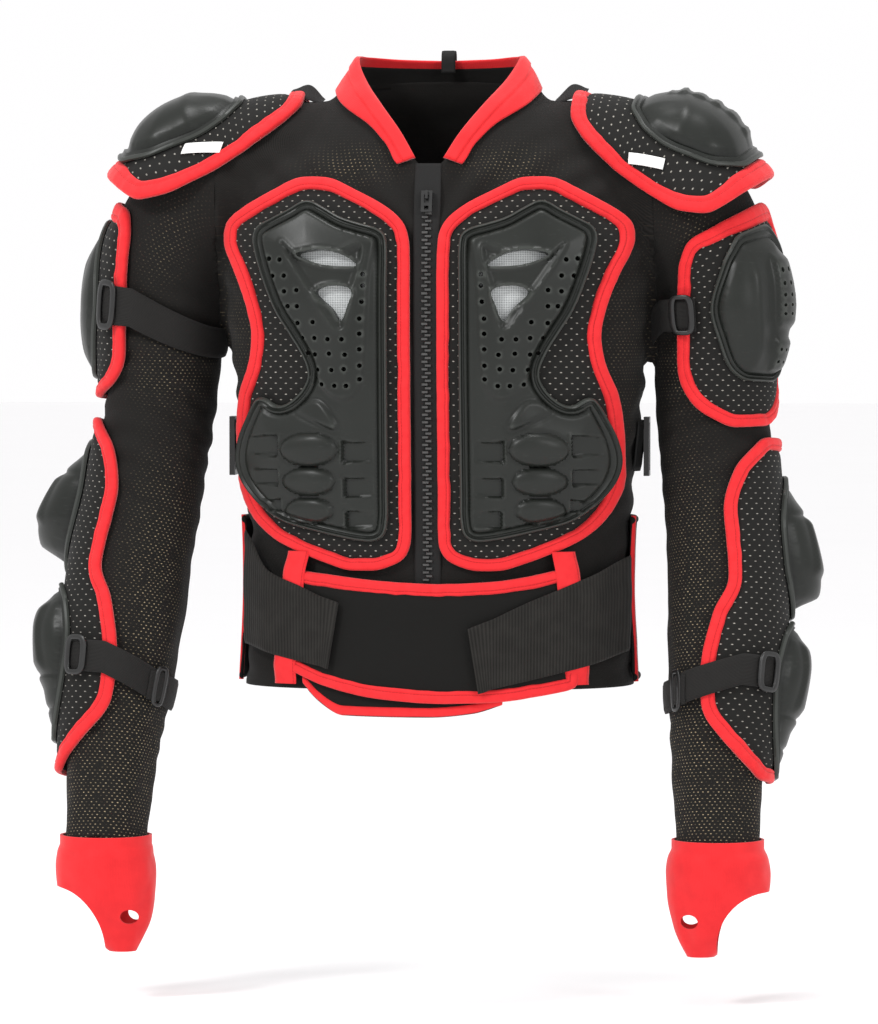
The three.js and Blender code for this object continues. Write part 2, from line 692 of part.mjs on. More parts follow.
for (const hand of Object.keys(SIDES)) armStraps(hand);

// White tags on the shoulder pads

const TAG = { along: 80, length: 27, near: 53, far: 62, thick: 0.5 };

for (const hand of Object.keys(SIDES)) {
  const { from, twist } = sized(ARM_PIECES.shoulder.pad, hand);
  const tag = band(2, 2, (along, across, w) => onSleeve(hand, from, twist[hand],
    SEAT + PAD + GAP, () => TAG.thick)(
    TAG.near + (across + 0.5) * (TAG.far - TAG.near), -(TAG.along + along * TAG.length), w));
  add(`shoulder_label_${hand}`, tag, cloth(WHITE));
}

// Ribbons: webbing along a path, with its width along one axis

function ribbon(points, widthAxis, width, thickness, steps) {
  const path = new THREE.CatmullRomCurve3(points);
  return band(steps, 1, (along, across, w) => {
    const normal = path.getTangent(along).cross(widthAxis).normalize();
    return path.getPoint(along)
      .addScaledVector(widthAxis, across * width)
      .addScaledVector(normal, w * thickness);
  });
}

// Shoulder straps arch from the neck end of each shoulder pad to the collar seam

const SHOULDER_STRAP = { width: 26, rise: 16, inner: 4 };

for (const [hand, side] of Object.entries(SIDES)) {
  const { from } = sized(ARM_PIECES.shoulder.pad, hand);
  const outer = SLEEVES[hand].level(from + TRIM_WIDTH, 0, SEAT + PAD + TRIM_PROUD + 3.6 * GAP);
  const inner = SLEEVES[hand].level(SHOULDER_STRAP.inner, 0, GAP * 2);
  const peak = outer.clone().lerp(inner, 0.5);
  peak.z += SHOULDER_STRAP.rise;
  add(`shoulder_strap_${hand}`, ribbon(
    side > 0 ? [inner, peak, outer] : [outer, peak, inner],
    new THREE.Vector3(0, -1, 0), SHOULDER_STRAP.width, WEBBING, 6,
  ), cloth(WEB_BLACK));
}

// Collar: a band from one front tip round the back to the other; its lower edge lies on the body

const COLLAR_COLUMNS = ['turn', 'angle', 'low', 'out', 'fore', 'top'];
const collarHalf = table(COLLAR_COLUMNS, [
  [0.00, 0.10, -0.96, 0.14, 1.26, -0.87],
  [0.14, 0.23, -0.68, 0.30, 1.11, -0.55],
  [0.28, 0.49, -0.41, 0.52, 0.86, -0.20],
  [0.42, 1.05, -0.14, 0.71, 0.48, 0.10],
  [0.56, 1.57, -0.03, 0.82, 0.05, 0.38],
  [0.72, 2.10, 0.00, 0.75, -0.34, 0.41],
  [0.86, 2.62, 0.03, 0.46, -0.60, 0.39],
  [1.00, Math.PI, 0.05, 0.00, -0.70, 0.37],
]);
const COLLAR_STEPS = 16;
const COLLAR_LEAN = 40;

function collarPoint(along, across, w) {
  const turn = 1 - Math.abs(along - 0.5) * 2;
  const side = along < 0.5 ? -1 : 1;
  const row = collarHalf(turn);
  const low = bodySkin(side * Math.min(row.angle, Math.PI - 1e-3), row.low * NECK_DROP, SEAT);
  const high = new THREE.Vector3(
    side * row.out * NECK_HALF,
    -row.fore * NECK_HALF,
    row.top * NECK_DROP,
  );
  const outward = new THREE.Vector3(low.x, low.y, COLLAR_LEAN).normalize();
  return low.lerp(high, across + 0.5).addScaledVector(outward, w * KNIT);
}

add('collar', seated(band(COLLAR_STEPS, 1, collarPoint), WORN), cloth(RED));

// Hang loop at the back of the neck

const LOOP = { x: 3, width: 14, inner: 54, outer: 72, low: 17, top: 38 };

add('hang_loop', ribbon([
  new THREE.Vector3(LOOP.x, LOOP.inner, LOOP.low),
  new THREE.Vector3(LOOP.x, LOOP.inner + 1, LOOP.top - 4),
  new THREE.Vector3(LOOP.x, (LOOP.inner + LOOP.outer) / 2, LOOP.top),
  new THREE.Vector3(LOOP.x, LOOP.outer - 1, LOOP.top - 4),
  new THREE.Vector3(LOOP.x, LOOP.outer, LOOP.low),
], new THREE.Vector3(1, 0, 0), LOOP.width, WEBBING, 10), cloth(WEB_BLACK));

// Cuffs: loose knitted tubes that narrow to a thumb loop on the inner side

const CUFF_LENGTH = 98;
const CUFF_HALF = 45;
const CUFF_DEPTH = 41;
const CUFF_SEAM = 1;
const cuffSection = table(['down', 'inward', 'half', 'deep'], [
  [0.00, 0.00, 0.90, 0.94],
  [0.05, 0.00, 1.00, 1.00],
  [0.50, 0.02, 1.00, 0.90],
  [0.75, 0.12, 0.78, 0.66],
  [1.00, 0.34, 0.28, 0.32],
]);
const HAND_CUT = { out: 1.02, down: 0.93, wide: 1.03, tall: 0.54 };
const THUMB_HOLE = { inward: 0.55, down: 0.66, radius: 6.5 };

function cuffTube(centre, side, shrink, over) {
  const tube = new THREE.CylinderGeometry(1, 1, 1, 10, 4);
  return solidOf(mapped(tube, (x, y, z) => {
    const down = 0.5 - y;
    const row = cuffSection(down);
    const stretch = down <= 0 ? over : (down >= 1 ? shrink : 0);
    return new THREE.Vector3(
      centre.x - side * row.inward * CUFF_HALF + x * (row.half * CUFF_HALF - shrink),
      centre.y + z * (row.deep * CUFF_DEPTH - shrink),
      centre.z - down * CUFF_LENGTH + stretch,
    );
  }));
}

function cuff(hand) {
  const side = SIDES[hand];
  const sleeve = SLEEVES[hand];
  const end = sleeve.level(sleeve.length, 0, 0).add(sleeve.level(sleeve.length, Math.PI, 0));
  const centre = end.multiplyScalar(0.5);
  centre.z -= CUFF_SEAM;
  const across = (out, down, wide, tall) => {
    const pin = new THREE.CylinderGeometry(1, 1, 4 * CUFF_DEPTH, 8);
    pin.scale(wide, 1, tall);
    pin.translate(centre.x + side * out * CUFF_HALF, centre.y, centre.z - down * CUFF_LENGTH);
    return solidOf(pin);
  };
  const solid = cuffTube(centre, side, 0, 0)
    .subtract(cuffTube(centre, side, KNIT, OPEN_END))
    .subtract(across(HAND_CUT.out, HAND_CUT.down, HAND_CUT.wide * CUFF_HALF, HAND_CUT.tall * CUFF_LENGTH))
    .subtract(across(-THUMB_HOLE.inward, THUMB_HOLE.down, THUMB_HOLE.radius, THUMB_HOLE.radius));
  add(`cuff_${hand}`, geometryOf(solid.subtract(WORN)), cloth(RED));
}

for (const hand of Object.keys(SIDES)) cuff(hand);

// Kidney belt. Rows run across the belly: place across, top edge and lower edge

const BELT_HALF = 128;
const BELT_TUCK = 2;
const BELT_DOWN = PANEL_DOWN + PANEL_HEIGHT - BELT_TUCK;
const BELT_OVERHANG = 7;
const BELT_HEIGHT = BODY_LENGTH - BELT_DOWN + BELT_OVERHANG;
const BELT_LAYER = 2.4;
const BELT_FRONT = [
  [-1.00, 0.00, 0.78], [-0.70, 0.09, 0.94], [-0.31, 0.16, 1.05], [0.08, 0.18, 1.08],
  [0.47, 0.16, 1.07], [0.78, 0.08, 1.00], [1.01, -0.03, 0.95],
];
const BELT_INNER = [
  [-0.89, 0.55, 0.90], [-0.78, 0.55, 1.03], [-0.60, 0.55, 1.14], [0.00, 0.55, 1.15],
  [0.31, 0.55, 1.12], [0.52, 0.55, 1.05],
];
const BELT_STRAP = {
  left: [[-1.31, -0.29, 0.61], [-1.09, 0.02, 0.67], [-0.86, 0.14, 0.73], [-0.64, 0.26, 0.78]],
  right: [
    [1.33, -0.09, 0.66], [1.17, 0.00, 0.72], [0.98, 0.10, 0.78], [0.66, 0.26, 0.87], [0.31, 0.46, 0.96],
  ],
};
const BELT_BACK = { from: 1.42, to: 4.82, top: 0.717, bottom: 0.993 };
const BELT_GAP = 1.9;
const BELT_FRONT_LIFT = SEAT + BELT_LAYER + BELT_GAP;
const BELT_STRAP_LIFT = BELT_FRONT_LIFT + PAD + TRIM_PROUD + BELT_GAP;
const BELT_SIDE_LIFT = SEAT + BELT_LAYER + BELT_GAP;

function beltLoop(rows) {
  return loopOf(rows, (level, across) => (
    new THREE.Vector2(across * BELT_HALF, -BELT_DOWN - level * BELT_HEIGHT)));
}

const onBelly = (lift, thickness) => (u, v, w) => chestSkin(u, v, lift + w * thickness);

function belt() {
  const loop = beltLoop(BELT_FRONT);
  const trim = (extra) => binding(inset(loop, -extra), TRIM_WIDTH + 2 * extra,
    onBelly(BELT_FRONT_LIFT, PAD + TRIM_PROUD + extra));
  add('belt_trim', trim(0), cloth(RED));
  add('belt_front', leaf(inset(loop, TRIM_WIDTH + TRIM_GAP), 3, onBelly(BELT_FRONT_LIFT, PAD)),
    cloth(BLACK_PAD));
  add('belt_inner', seated(leaf(beltLoop(BELT_INNER), 3, onBelly(SEAT, BELT_LAYER)), WORN),
    cloth(RED));
  const { from, to, top, bottom } = BELT_BACK;
  add('belt_back', seated(band(10, 2, (along, across, w) => (
    bodySkin(from + along * (to - from), ((across - 0.5) * (bottom - top) - top) * BODY_LENGTH,
      SEAT + w * BELT_LAYER)
  )), WORN), cloth(BLACK_PAD));
  for (const [hand, rows] of Object.entries(BELT_STRAP)) {
    const settle = (u) => {
      const share = Math.min(Math.max((Math.abs(u) / BELT_HALF - 1.04) / 0.25, 0), 1);
      return BELT_STRAP_LIFT - (BELT_STRAP_LIFT - BELT_SIDE_LIFT) * share;
    };
    add(`belt_strap_${hand}`, seated(leaf(beltLoop(rows), 3, (u, v, w) => (
      chestSkin(u, v, settle(u) + w * ELASTIC))), solidOf(trim(GAP))), cloth(WEB_BLACK));
  }
}

belt();

// Side straps join the chest panels to the back through ladder buckles

const SIDE_SEAT = 1.4;
const SIDE_STRAP = { top: 303, bottom: 349, from: 1.4, to: 2.3 };
const BUCKLE = { angle: 1.56, wide: 24, tall: 54, bar: 5, thick: 5, slot: 5 };

for (const [hand, side] of Object.entries(SIDES)) {
  add(`side_strap_${hand}`, seated(band(6, 1, (along, across, w) => bodySkin(
    side * (SIDE_STRAP.from + along * (SIDE_STRAP.to - SIDE_STRAP.from)),
    -(SIDE_STRAP.top + SIDE_STRAP.bottom) / 2 + across * (SIDE_STRAP.bottom - SIDE_STRAP.top),
    SIDE_SEAT + w * WEBBING,
  )), WORN), cloth(WEB_BLACK));
  const lift = SIDE_SEAT + WEBBING + LAYER_GAP;
  const level = -(SIDE_STRAP.top + SIDE_STRAP.bottom) / 2;
  const seat = bodySkin(side * BUCKLE.angle, level, lift + BUCKLE.thick / 2);
  const bar = (width, height, y, z) => {
    const box = new THREE.BoxGeometry(BUCKLE.thick, width, height);
    box.translate(0, y, z);
    return solidOf(box);
  };
  let frame = bar(BUCKLE.wide, BUCKLE.tall, 0, 0);
  for (const shift of [-1, 1]) {
    const slot = new THREE.BoxGeometry(2 * BUCKLE.thick, BUCKLE.slot, BUCKLE.tall - 2 * BUCKLE.bar);
    slot.translate(0, shift * (BUCKLE.slot / 2 + 1.5), 0);
    frame = frame.subtract(solidOf(slot));
  }
  const mesh = new THREE.Mesh(geometryOf(frame), plastic(WEB_BLACK));
  mesh.name = `side_buckle_${hand}`;
  mesh.position.copy(seat);
  jacket.add(mesh);
}

// Zip: a chain over the front opening, a slider at its top and a pull tab that hinges on the slider

const SLIDER = { wide: 10, tall: 14, thick: 6, down: 103 };
const ZIP = { x: -1, bottom: 448, width: 9, thick: 2.6, lift: 0.6 };
const ZIP_TOP = SLIDER.down + SLIDER.tall / 2 + GAP;
const BAIL = { wide: 2.4, wire: 1.4, reach: 4.6, tall: 7.8, up: 2 };
const TAB = { wide: 10, tall: 18, thick: 1.8, eye: 4.6, bar: 1.8, window: 4 };

add('zip_chain', band(10, 1, (along, across, w) => chestSkin(
  ZIP.x + across * ZIP.width,
  -ZIP_TOP - along * (ZIP.bottom - ZIP_TOP),
  ZIP.lift + w * ZIP.thick,
)), plastic(WEB_BLACK));

function block(wide, thick, tall, y, z) {
  const box = new THREE.BoxGeometry(wide, thick, tall);
  box.translate(0, y, z);
  return solidOf(box);
}

function zipHardware() {
  const low = chestSkin(ZIP.x, -SLIDER.down - 4, 0);
  const high = chestSkin(ZIP.x, -SLIDER.down + 4, 0);
  const frame = new THREE.Group();
  frame.position.copy(low).lerp(high, 0.5);
  frame.rotation.x = -Math.atan2(high.y - low.y, high.z - low.z);
  const front = -ZIP.lift - SLIDER.thick;
  const inner = BAIL.tall - 2 * BAIL.wire;
  const slider = block(SLIDER.wide, SLIDER.thick, SLIDER.tall, -ZIP.lift - SLIDER.thick / 2, 0)
    .add(block(BAIL.wide, BAIL.reach + 1, BAIL.tall, front - BAIL.reach / 2 + 0.5, BAIL.up)
      .subtract(block(2 * BAIL.wide, BAIL.reach - BAIL.wire, inner,
        front - (BAIL.reach - BAIL.wire) / 2, BAIL.up)));
  const axisY = front - GAP - TAB.thick / 2;
  const axisZ = BAIL.up + inner / 2 - TAB.bar / 2 - GAP;
  const eyeTall = BAIL.tall;
  const tab = block(TAB.wide, TAB.thick, TAB.tall, 0, TAB.bar / 2 - TAB.tall / 2)
    .subtract(block(TAB.eye, 2 * TAB.thick, eyeTall, 0, -TAB.bar / 2 - eyeTall / 2))
    .subtract(block(TAB.window, 2 * TAB.thick, TAB.window, 0,
      TAB.bar / 2 - TAB.tall + TAB.bar + TAB.window / 2));
  const bodyMesh = new THREE.Mesh(geometryOf(slider), plastic(WEB_BLACK));
  bodyMesh.name = 'zip_slider';
  const tabMesh = new THREE.Mesh(geometryOf(tab), plastic(WEB_BLACK));
  tabMesh.name = 'zip_pull';
  tabMesh.position.set(0, axisY, axisZ);
  frame.add(bodyMesh);
  frame.add(tabMesh);
  jacket.add(frame);
}

zipHardware();

export default jacket;
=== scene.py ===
"""Motorcycle armor jacket: the visual model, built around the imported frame."""

import math
from contextlib import contextmanager

import bmesh
import bpy
import numpy as np
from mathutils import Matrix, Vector
from mathutils.geometry import delaunay_2d_cdt
from mathutils.kdtree import KDTree


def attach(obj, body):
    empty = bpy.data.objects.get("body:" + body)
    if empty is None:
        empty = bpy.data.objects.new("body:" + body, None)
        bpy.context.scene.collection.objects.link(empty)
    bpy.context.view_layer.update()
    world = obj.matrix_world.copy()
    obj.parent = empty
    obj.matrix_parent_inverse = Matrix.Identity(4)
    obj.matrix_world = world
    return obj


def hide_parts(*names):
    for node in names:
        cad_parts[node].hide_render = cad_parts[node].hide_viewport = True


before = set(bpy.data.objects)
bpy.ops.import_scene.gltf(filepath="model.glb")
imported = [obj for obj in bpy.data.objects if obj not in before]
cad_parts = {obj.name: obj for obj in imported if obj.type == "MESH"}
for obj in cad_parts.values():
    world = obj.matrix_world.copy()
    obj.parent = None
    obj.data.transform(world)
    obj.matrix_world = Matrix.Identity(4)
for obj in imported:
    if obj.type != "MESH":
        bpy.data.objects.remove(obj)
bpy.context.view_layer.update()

MM = 0.001
SIDE = {"left": -1.0, "right": 1.0}
JACKET = "jacket"

# Driving sizes in mm, the same as in the CAD model
BODY_LENGTH = 545.0
CHEST_WIDTH = 376.0
CHEST_DEPTH = 250.0
ARMHOLE_WIDTH = 400.0
NECK_HALF = 88.0
NECK_DROP = 74.0
NECK_RISE = 10.0
ZIP_OPENING = 6.0
ARM_DROP = 690.0
ARM_SPREAD = 300.0
SLEEVE_RADIUS = 57.0
CLOTH = 2.0
KNIT = 3.0
PAD = 4.5
TRIM_WIDTH = 10.5
TRIM_PROUD = 1.2
WEBBING = 1.6
ELASTIC = 2.0
SEAT = 2.6
GAP = 0.35
PLATE_GAP = 3.4
CAP_GAP = 1.8
BODY_RADIUS = 160.0

# Numbers


def own(size, hand):
    """The size of one hand, where left and right differ."""
    return size[hand] if isinstance(size, dict) else size


def sized(piece, hand):
    return {key: own(size, hand) for key, size in piece.items()}


def spread(*values):
    return np.broadcast_arrays(*(np.asarray(value, float) for value in values))


def xyz(*parts):
    """Points from their coordinates."""
    return np.stack(np.broadcast_arrays(*parts), axis=-1)


def run_of(line):
    """The distance along a line up to each of its points."""
    return np.concatenate([[0], np.cumsum(np.linalg.norm(np.diff(line, axis=0), axis=1))])


def eased(loop, times):
    """A closed loop with its turns smoothed."""
    for _ in range(times):
        loop = (np.roll(loop, 1, axis=0) + 2 * loop + np.roll(loop, -1, axis=0)) / 4
    return loop


def table(rows):
    """Reads rows of numbers smoothly, with the first column as the knots."""
    rows = np.array(rows, float)
    knots, values = rows[:, 0], rows[:, 1:]
    last = len(knots) - 1

    def read(where):
        where = np.clip(np.asarray(where, float), knots[0], knots[-1])
        after = np.clip(np.searchsorted(knots, where, side="right"), 1, last)
        at = after - 1
        start, end = knots[at], knots[after]
        before_i = np.where(at > 0, at - 1, after)
        next_i = np.where(after < last, after + 1, at)
        half = (end - start) / 2
        w_before = half / (start - knots[before_i])
        w_next = half / (knots[next_i] - end)
        p = (where - start) / (end - start)
        pp, ppp = p * p, p * p * p
        s_before = -w_before * ppp + 2 * w_before * pp - w_before * p
        s_at = (1 + w_before) * ppp + (-1.5 - 2 * w_before) * pp + (-0.5 + w_before) * p + 1
        s_after = (-1 - w_next) * ppp + (1.5 + w_next) * pp + 0.5 * p
        s_next = w_next * ppp - w_next * pp
        return (s_before[..., None] * values[before_i] + s_at[..., None] * values[at]
                + s_after[..., None] * values[after] + s_next[..., None] * values[next_i])

    return read


def steady(knots, values, where):
    """A cubic through the points that never overshoots them."""
    knots, values = np.asarray(knots, float), np.asarray(values, float)
    step = np.diff(knots)
    slope = np.diff(values) / step
    grade = np.zeros_like(values)
    same = slope[:-1] * slope[1:] > 0
    w1, w2 = 2 * step[1:] + step[:-1], step[1:] + 2 * step[:-1]
    with np.errstate(divide="ignore", invalid="ignore"):
        mean = (w1 + w2) / (w1 / slope[:-1] + w2 / slope[1:])
    grade[1:-1] = np.where(same, mean, 0)
    grade[0], grade[-1] = slope[0], slope[-1]
    where = np.clip(np.asarray(where, float), knots[0], knots[-1])
    i = np.clip(np.searchsorted(knots, where, side="right") - 1, 0, len(step) - 1)
    h = step[i]
    t = (where - knots[i]) / h
    return ((1 + 2 * t) * (1 - t) ** 2 * values[i] + t * (1 - t) ** 2 * h * grade[i]
            + t * t * (3 - 2 * t) * values[i + 1] + t * t * (t - 1) * h * grade[i + 1])


def smooth(low, high, value):
    t = np.clip((value - low) / (high - low), 0, 1)
    return t * t * (3 - 2 * t)


def unit(vectors):
    return vectors / np.maximum(np.linalg.norm(vectors, axis=-1, keepdims=True), 1e-9)


def bump(value, centre, width):
    return np.exp(-((value - centre) / width) ** 2)


def ridge(distance, width):
    """A rounded ridge that stands on the line where a signed distance is nothing."""
    return bump(distance, 0, width)


def arch(across):
    """1 along the middle of a ribbon and 0 on its edges."""
    return 1 - 4 * across ** 2


def noise(points, scale, seed=0):
    """Smooth noise from -1 to 1 on points in mm, with the given cell sizes."""
    cells = np.asarray(points, float) / np.asarray(scale, float)
    low = np.floor(cells).astype(np.int64)
    part = cells - low
    part = part * part * (3 - 2 * part)
    total = np.zeros(cells.shape[:-1])
    for corner in range(8):
        offset = np.array([corner & 1, corner >> 1 & 1, corner >> 2 & 1])
        key = low + offset
        mixed = (key[..., 0] * 73856093) ^ (key[..., 1] * 19349663) ^ (key[..., 2] * 83492791)
        mixed = (mixed + seed * 7919) & 0x7FFFFFFF
        mixed = ((mixed >> 13) ^ mixed) * 1274126177 & 0x7FFFFFFF
        weight = np.prod(np.where(offset, part, 1 - part), axis=-1)
        total += weight * ((mixed & 0xFFFF) / 32767.5 - 1)
    return total


def flat_noise(u, v, cells, seed):
    """The same noise over a flat place in mm; cells is one size or a pair."""
    return noise(xyz(u, v, 0 * u), (*np.broadcast_to(cells, 2), 1), seed)


# Skins

body_section = table([
    [0, 0.47, 0.53, 0.56, 2], [0.04, 0.62, 0.65, 0.66, 2.1], [0.09, 0.8, 0.78, 0.8, 2.3],
    [0.15, 0.97, 0.9, 0.9, 2.7], [0.24, 1.035, 1.02, 0.97, 2.9], [0.34, 1.035, 1.06, 0.99, 2.9],
    [0.46, 1.01, 1.04, 0.95, 2.8], [0.58, 0.975, 0.99, 0.9, 2.6], [0.7, 0.94, 0.94, 0.87, 2.4],
    [0.84, 0.93, 0.93, 0.9, 2.4], [1, 0.95, 0.95, 0.94, 2.4],
])


def body_level(angle, z, lift):
    angle, z, lift = spread(angle, z, lift)
    half, front, back, rounding = np.moveaxis(body_section(-z / BODY_LENGTH), -1, 0)
    sine, cosine = np.sin(angle), np.cos(angle)
    depth = np.where(cosine > 0, front, back) * CHEST_DEPTH / 2 + lift
    bend = 2 / rounding
    return xyz((half * CHEST_WIDTH / 2 + lift) * np.sign(sine) * np.abs(sine) ** bend,
               -depth * np.sign(cosine) * np.abs(cosine) ** bend, z)


def body_skin(angle, z, lift):
    angle, z, lift = spread(angle, z, lift)
    step = 0.02
    around = body_level(angle + step, z, 0) - body_level(angle - step, z, 0)
    along = body_level(angle, z + 1, 0) - body_level(angle, z - 1, 0)
    return body_level(angle, z, 0) + unit(np.cross(around, along)) * lift[..., None]


def chest_skin(x, z, lift):
    x, z, lift = spread(x, z, lift)
    half, _, _, rounding = np.moveaxis(body_section(-z / BODY_LENGTH), -1, 0)
    share = np.minimum(np.abs(x) / (half * CHEST_WIDTH / 2), 0.995)
    return body_skin(np.sign(x) * np.arcsin(share ** (rounding / 2)), z, lift)


# Middle of the arm outward, down and forward, half width and half depth, at equal steps along it
SLEEVE_ROWS = {
    "left": [
        [0.33, 0.108, 0, 1.14, 1.22], [0.53, 0.116, 0, 1.18, 1.28],
        [0.7, 0.15, 0, 1.16, 1.28], [0.81, 0.218, 0, 1.08, 1.18],
        [0.85, 0.306, 0, 1, 1.09], [0.86, 0.413, 0, 0.92, 1],
        [0.9, 0.536, 0.02, 0.92, 1], [0.943, 0.638, 0.04, 0.95, 0.99],
        [0.965, 0.732, 0.08, 0.92, 0.95], [0.997, 0.874, 0.14, 0.77, 0.82],
        [1.007, 1, 0.2, 0.66, 0.72],
    ],
    "right": [
        [0.33, 0.108, 0, 1.14, 1.22], [0.53, 0.116, 0, 1.18, 1.28],
        [0.7, 0.15, 0, 1.16, 1.28], [0.81, 0.218, 0, 1.06, 1.18],
        [0.837, 0.306, 0, 0.98, 1.09], [0.835, 0.413, 0.01, 0.92, 1],
        [0.858, 0.536, 0.03, 0.91, 1], [0.873, 0.638, 0.06, 0.92, 0.99],
        [0.875, 0.732, 0.1, 0.92, 0.95], [0.865, 0.874, 0.17, 0.78, 0.82],
        [0.863, 1, 0.22, 0.66, 0.72],
    ],
}


def catmull(points):
    """A smooth path through points: t runs 0..1 with equal steps between the points."""
    points = np.asarray(points, float)
    first, final = 2 * points[0] - points[1], 2 * points[-1] - points[-2]
    padded = np.vstack([first, points, final])
    count = len(points) - 1

    def read(t):
        place = np.clip(np.asarray(t, float), 0, 1) * count
        i = np.minimum(np.floor(place).astype(int), count - 1)
        w = (place - i)[..., None]
        p0, p1, p2, p3 = (padded[i + k] for k in range(4))
        d0, d1, d2 = (np.maximum(np.sqrt(np.linalg.norm(b - a, axis=-1)), 1e-3)[..., None]
                      for a, b in ((p0, p1), (p1, p2), (p2, p3)))
        m1 = ((p1 - p0) / d0 - (p2 - p0) / (d0 + d1) + (p2 - p1) / d1) * d1
        m2 = ((p2 - p1) / d1 - (p3 - p1) / (d1 + d2) + (p3 - p2) / d2) * d1
        c2 = -3 * p1 + 3 * p2 - 2 * m1 - m2
        c3 = 2 * p1 - 2 * p2 + m1 + m2
        return p1 + m1 * w + c2 * w ** 2 + c3 * w ** 3

    return read


class Sleeve:
    """The skin of one sleeve: distances run along the arm, angle 0 is outward, + to the front."""

    def __init__(self, hand):
        rows = SLEEVE_ROWS[hand]
        self.side = SIDE[hand]
        self.last = len(rows) - 1
        self.section = table([[step, *row] for step, row in enumerate(rows)])
        self.path = catmull([[self.side * out * ARM_SPREAD, -fore * ARM_SPREAD, -down * ARM_DROP]
                             for out, down, fore, _, _ in rows])
        self.grid = np.linspace(0, 1, 401)
        self.line = self.path(self.grid)
        self.arc = run_of(self.line)
        self.length = self.arc[-1]

    def axes(self, t):
        along = unit(self.path(t + 1e-4) - self.path(t - 1e-4))
        front = np.zeros_like(along)
        front[..., 1] = -1
        front = unit(front - along * np.sum(front * along, axis=-1, keepdims=True))
        return along, front, np.cross(along, front) * -self.side

    def level(self, distance, angle, lift):
        distance, angle, lift = spread(distance, angle, lift)
        held = np.clip(distance, 0, self.length)
        t = np.interp(held, self.arc, self.grid)
        row = self.section(t * self.last)
        along, front, outward = self.axes(t)
        half = row[..., 3] * SLEEVE_RADIUS + lift
        deep = row[..., 4] * SLEEVE_RADIUS + lift
        return (self.path(t) + along * (distance - held)[..., None]
                + outward * (half * np.cos(angle))[..., None]
                + front * (deep * np.sin(angle))[..., None])

    def radius(self, distance):
        t = np.interp(distance, self.arc, self.grid)
        row = self.section(t * self.last)
        return (row[..., 3] + row[..., 4]) / 2 * SLEEVE_RADIUS

    def locate(self, points):
        nearest = np.argmin(
            ((points[:, None, :] - self.line[None, ::4, :]) ** 2).sum(axis=-1), axis=1) * 4
        t = self.grid[nearest]
        along, front, outward = self.axes(t)
        away = points - self.line[nearest]
        distance = self.arc[nearest] + (away * along).sum(axis=-1)
        return distance, np.arctan2((away * front).sum(axis=-1), (away * outward).sum(axis=-1))


SLEEVES = {hand: Sleeve(hand) for hand in SIDE}

# Meshes


def add(name, data):
    """A new object in the scene."""
    obj = bpy.data.objects.new(name, data)
    bpy.context.scene.collection.objects.link(obj)
    return obj


def pull(items, key, kind=float, wide=1):
    """One property of every item of a mesh."""
    out = np.empty(len(items) * wide, kind)
    items.foreach_get(key, out)
    return out.reshape(-1, wide) if wide > 1 else out


def lay_uv(mesh, uv):
    """Cloth coordinates in mm, one pair for each corner of a face."""
    layer = mesh.uv_layers.new(name="cloth")
    layer.data.foreach_set("uv", (uv * MM).astype(np.float32).ravel())


@contextmanager
def editing(obj):
    work = bmesh.new()
    work.from_mesh(obj.data)
    yield work
    work.to_mesh(obj.data)
    work.free()


def make(name, points, faces, material, uv=None, flat=False):
    """An object from points in mm; uv holds mm along and across for each point."""
    mesh = bpy.data.meshes.new(name)
    mesh.from_pydata((np.asarray(points) * MM).tolist(), [], [list(map(int, f)) for f in faces])
    if uv is not None:
        lay_uv(mesh, np.asarray(uv)[pull(mesh.loops, "vertex_index", int)])
    mesh.polygons.foreach_set("use_smooth", [not flat] * len(mesh.polygons))
    mesh.materials.append(material)
    mesh.validate()
    obj = add(name, mesh)
    with editing(obj) as work:
        bmesh.ops.recalc_face_normals(work, faces=work.faces[:])
    return obj


def crisp(obj, degrees):
    """Keeps the edges that turn more than this many degrees sharp."""
    with editing(obj) as work:
        for edge in work.edges:
            if len(edge.link_faces) == 2 and edge.calc_face_angle(0) > math.radians(degrees):
                edge.smooth = False


def modify(obj, kind, **settings):
    """Adds a modifier."""
    modifier = obj.modifiers.new(kind.lower(), kind)
    for key, value in settings.items():
        setattr(modifier, key, value)
    return modifier


def apply(obj):
    """Applies every modifier of an object."""
    graph = bpy.context.evaluated_depsgraph_get()
    mesh = bpy.data.meshes.new_from_object(obj.evaluated_get(graph))
    obj.modifiers.clear()
    obj.data = mesh


def round_off(obj):
    """Smooth shading on every face."""
    obj.data.polygons.foreach_set("use_smooth", [True] * len(obj.data.polygons))


def get_points(obj):
    return pull(obj.data.vertices, "co", wide=3) / MM


def set_points(obj, points):
    obj.data.vertices.foreach_set("co", (np.asarray(points) * MM).ravel())
    obj.data.update()


def settle(obj, slot, *nodes, body=JACKET):
    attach(obj, body)
    if nodes:
        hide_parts(*nodes)
    return obj


def closed_curve(points, spacing, rounding=2):
    """A smooth closed outline with equal steps through the given corners."""
    points = np.asarray(points, float)
    count = len(points)
    padded = np.vstack([points[-2:], points, points[:3]])
    read = catmull(padded)
    span = len(padded) - 1
    t = np.linspace(2 / span, (2 + count) / span, count * 60, endpoint=False)
    return resample(read(t), spacing, rounding)


def resample(dense, spacing, rounding=0):
    ring = np.vstack([dense, dense[:1]])
    arc = run_of(ring)
    count = max(8, int(round(arc[-1] / spacing)))
    want = np.linspace(0, arc[-1], count, endpoint=False)
    out = np.stack([np.interp(want, arc, ring[:, k]) for k in range(ring.shape[1])], axis=1)
    return eased(out, rounding)


def area_of(loop):
    x, y = loop[:, 0], loop[:, 1]
    return (x * np.roll(y, -1) - np.roll(x, -1) * y).sum() / 2


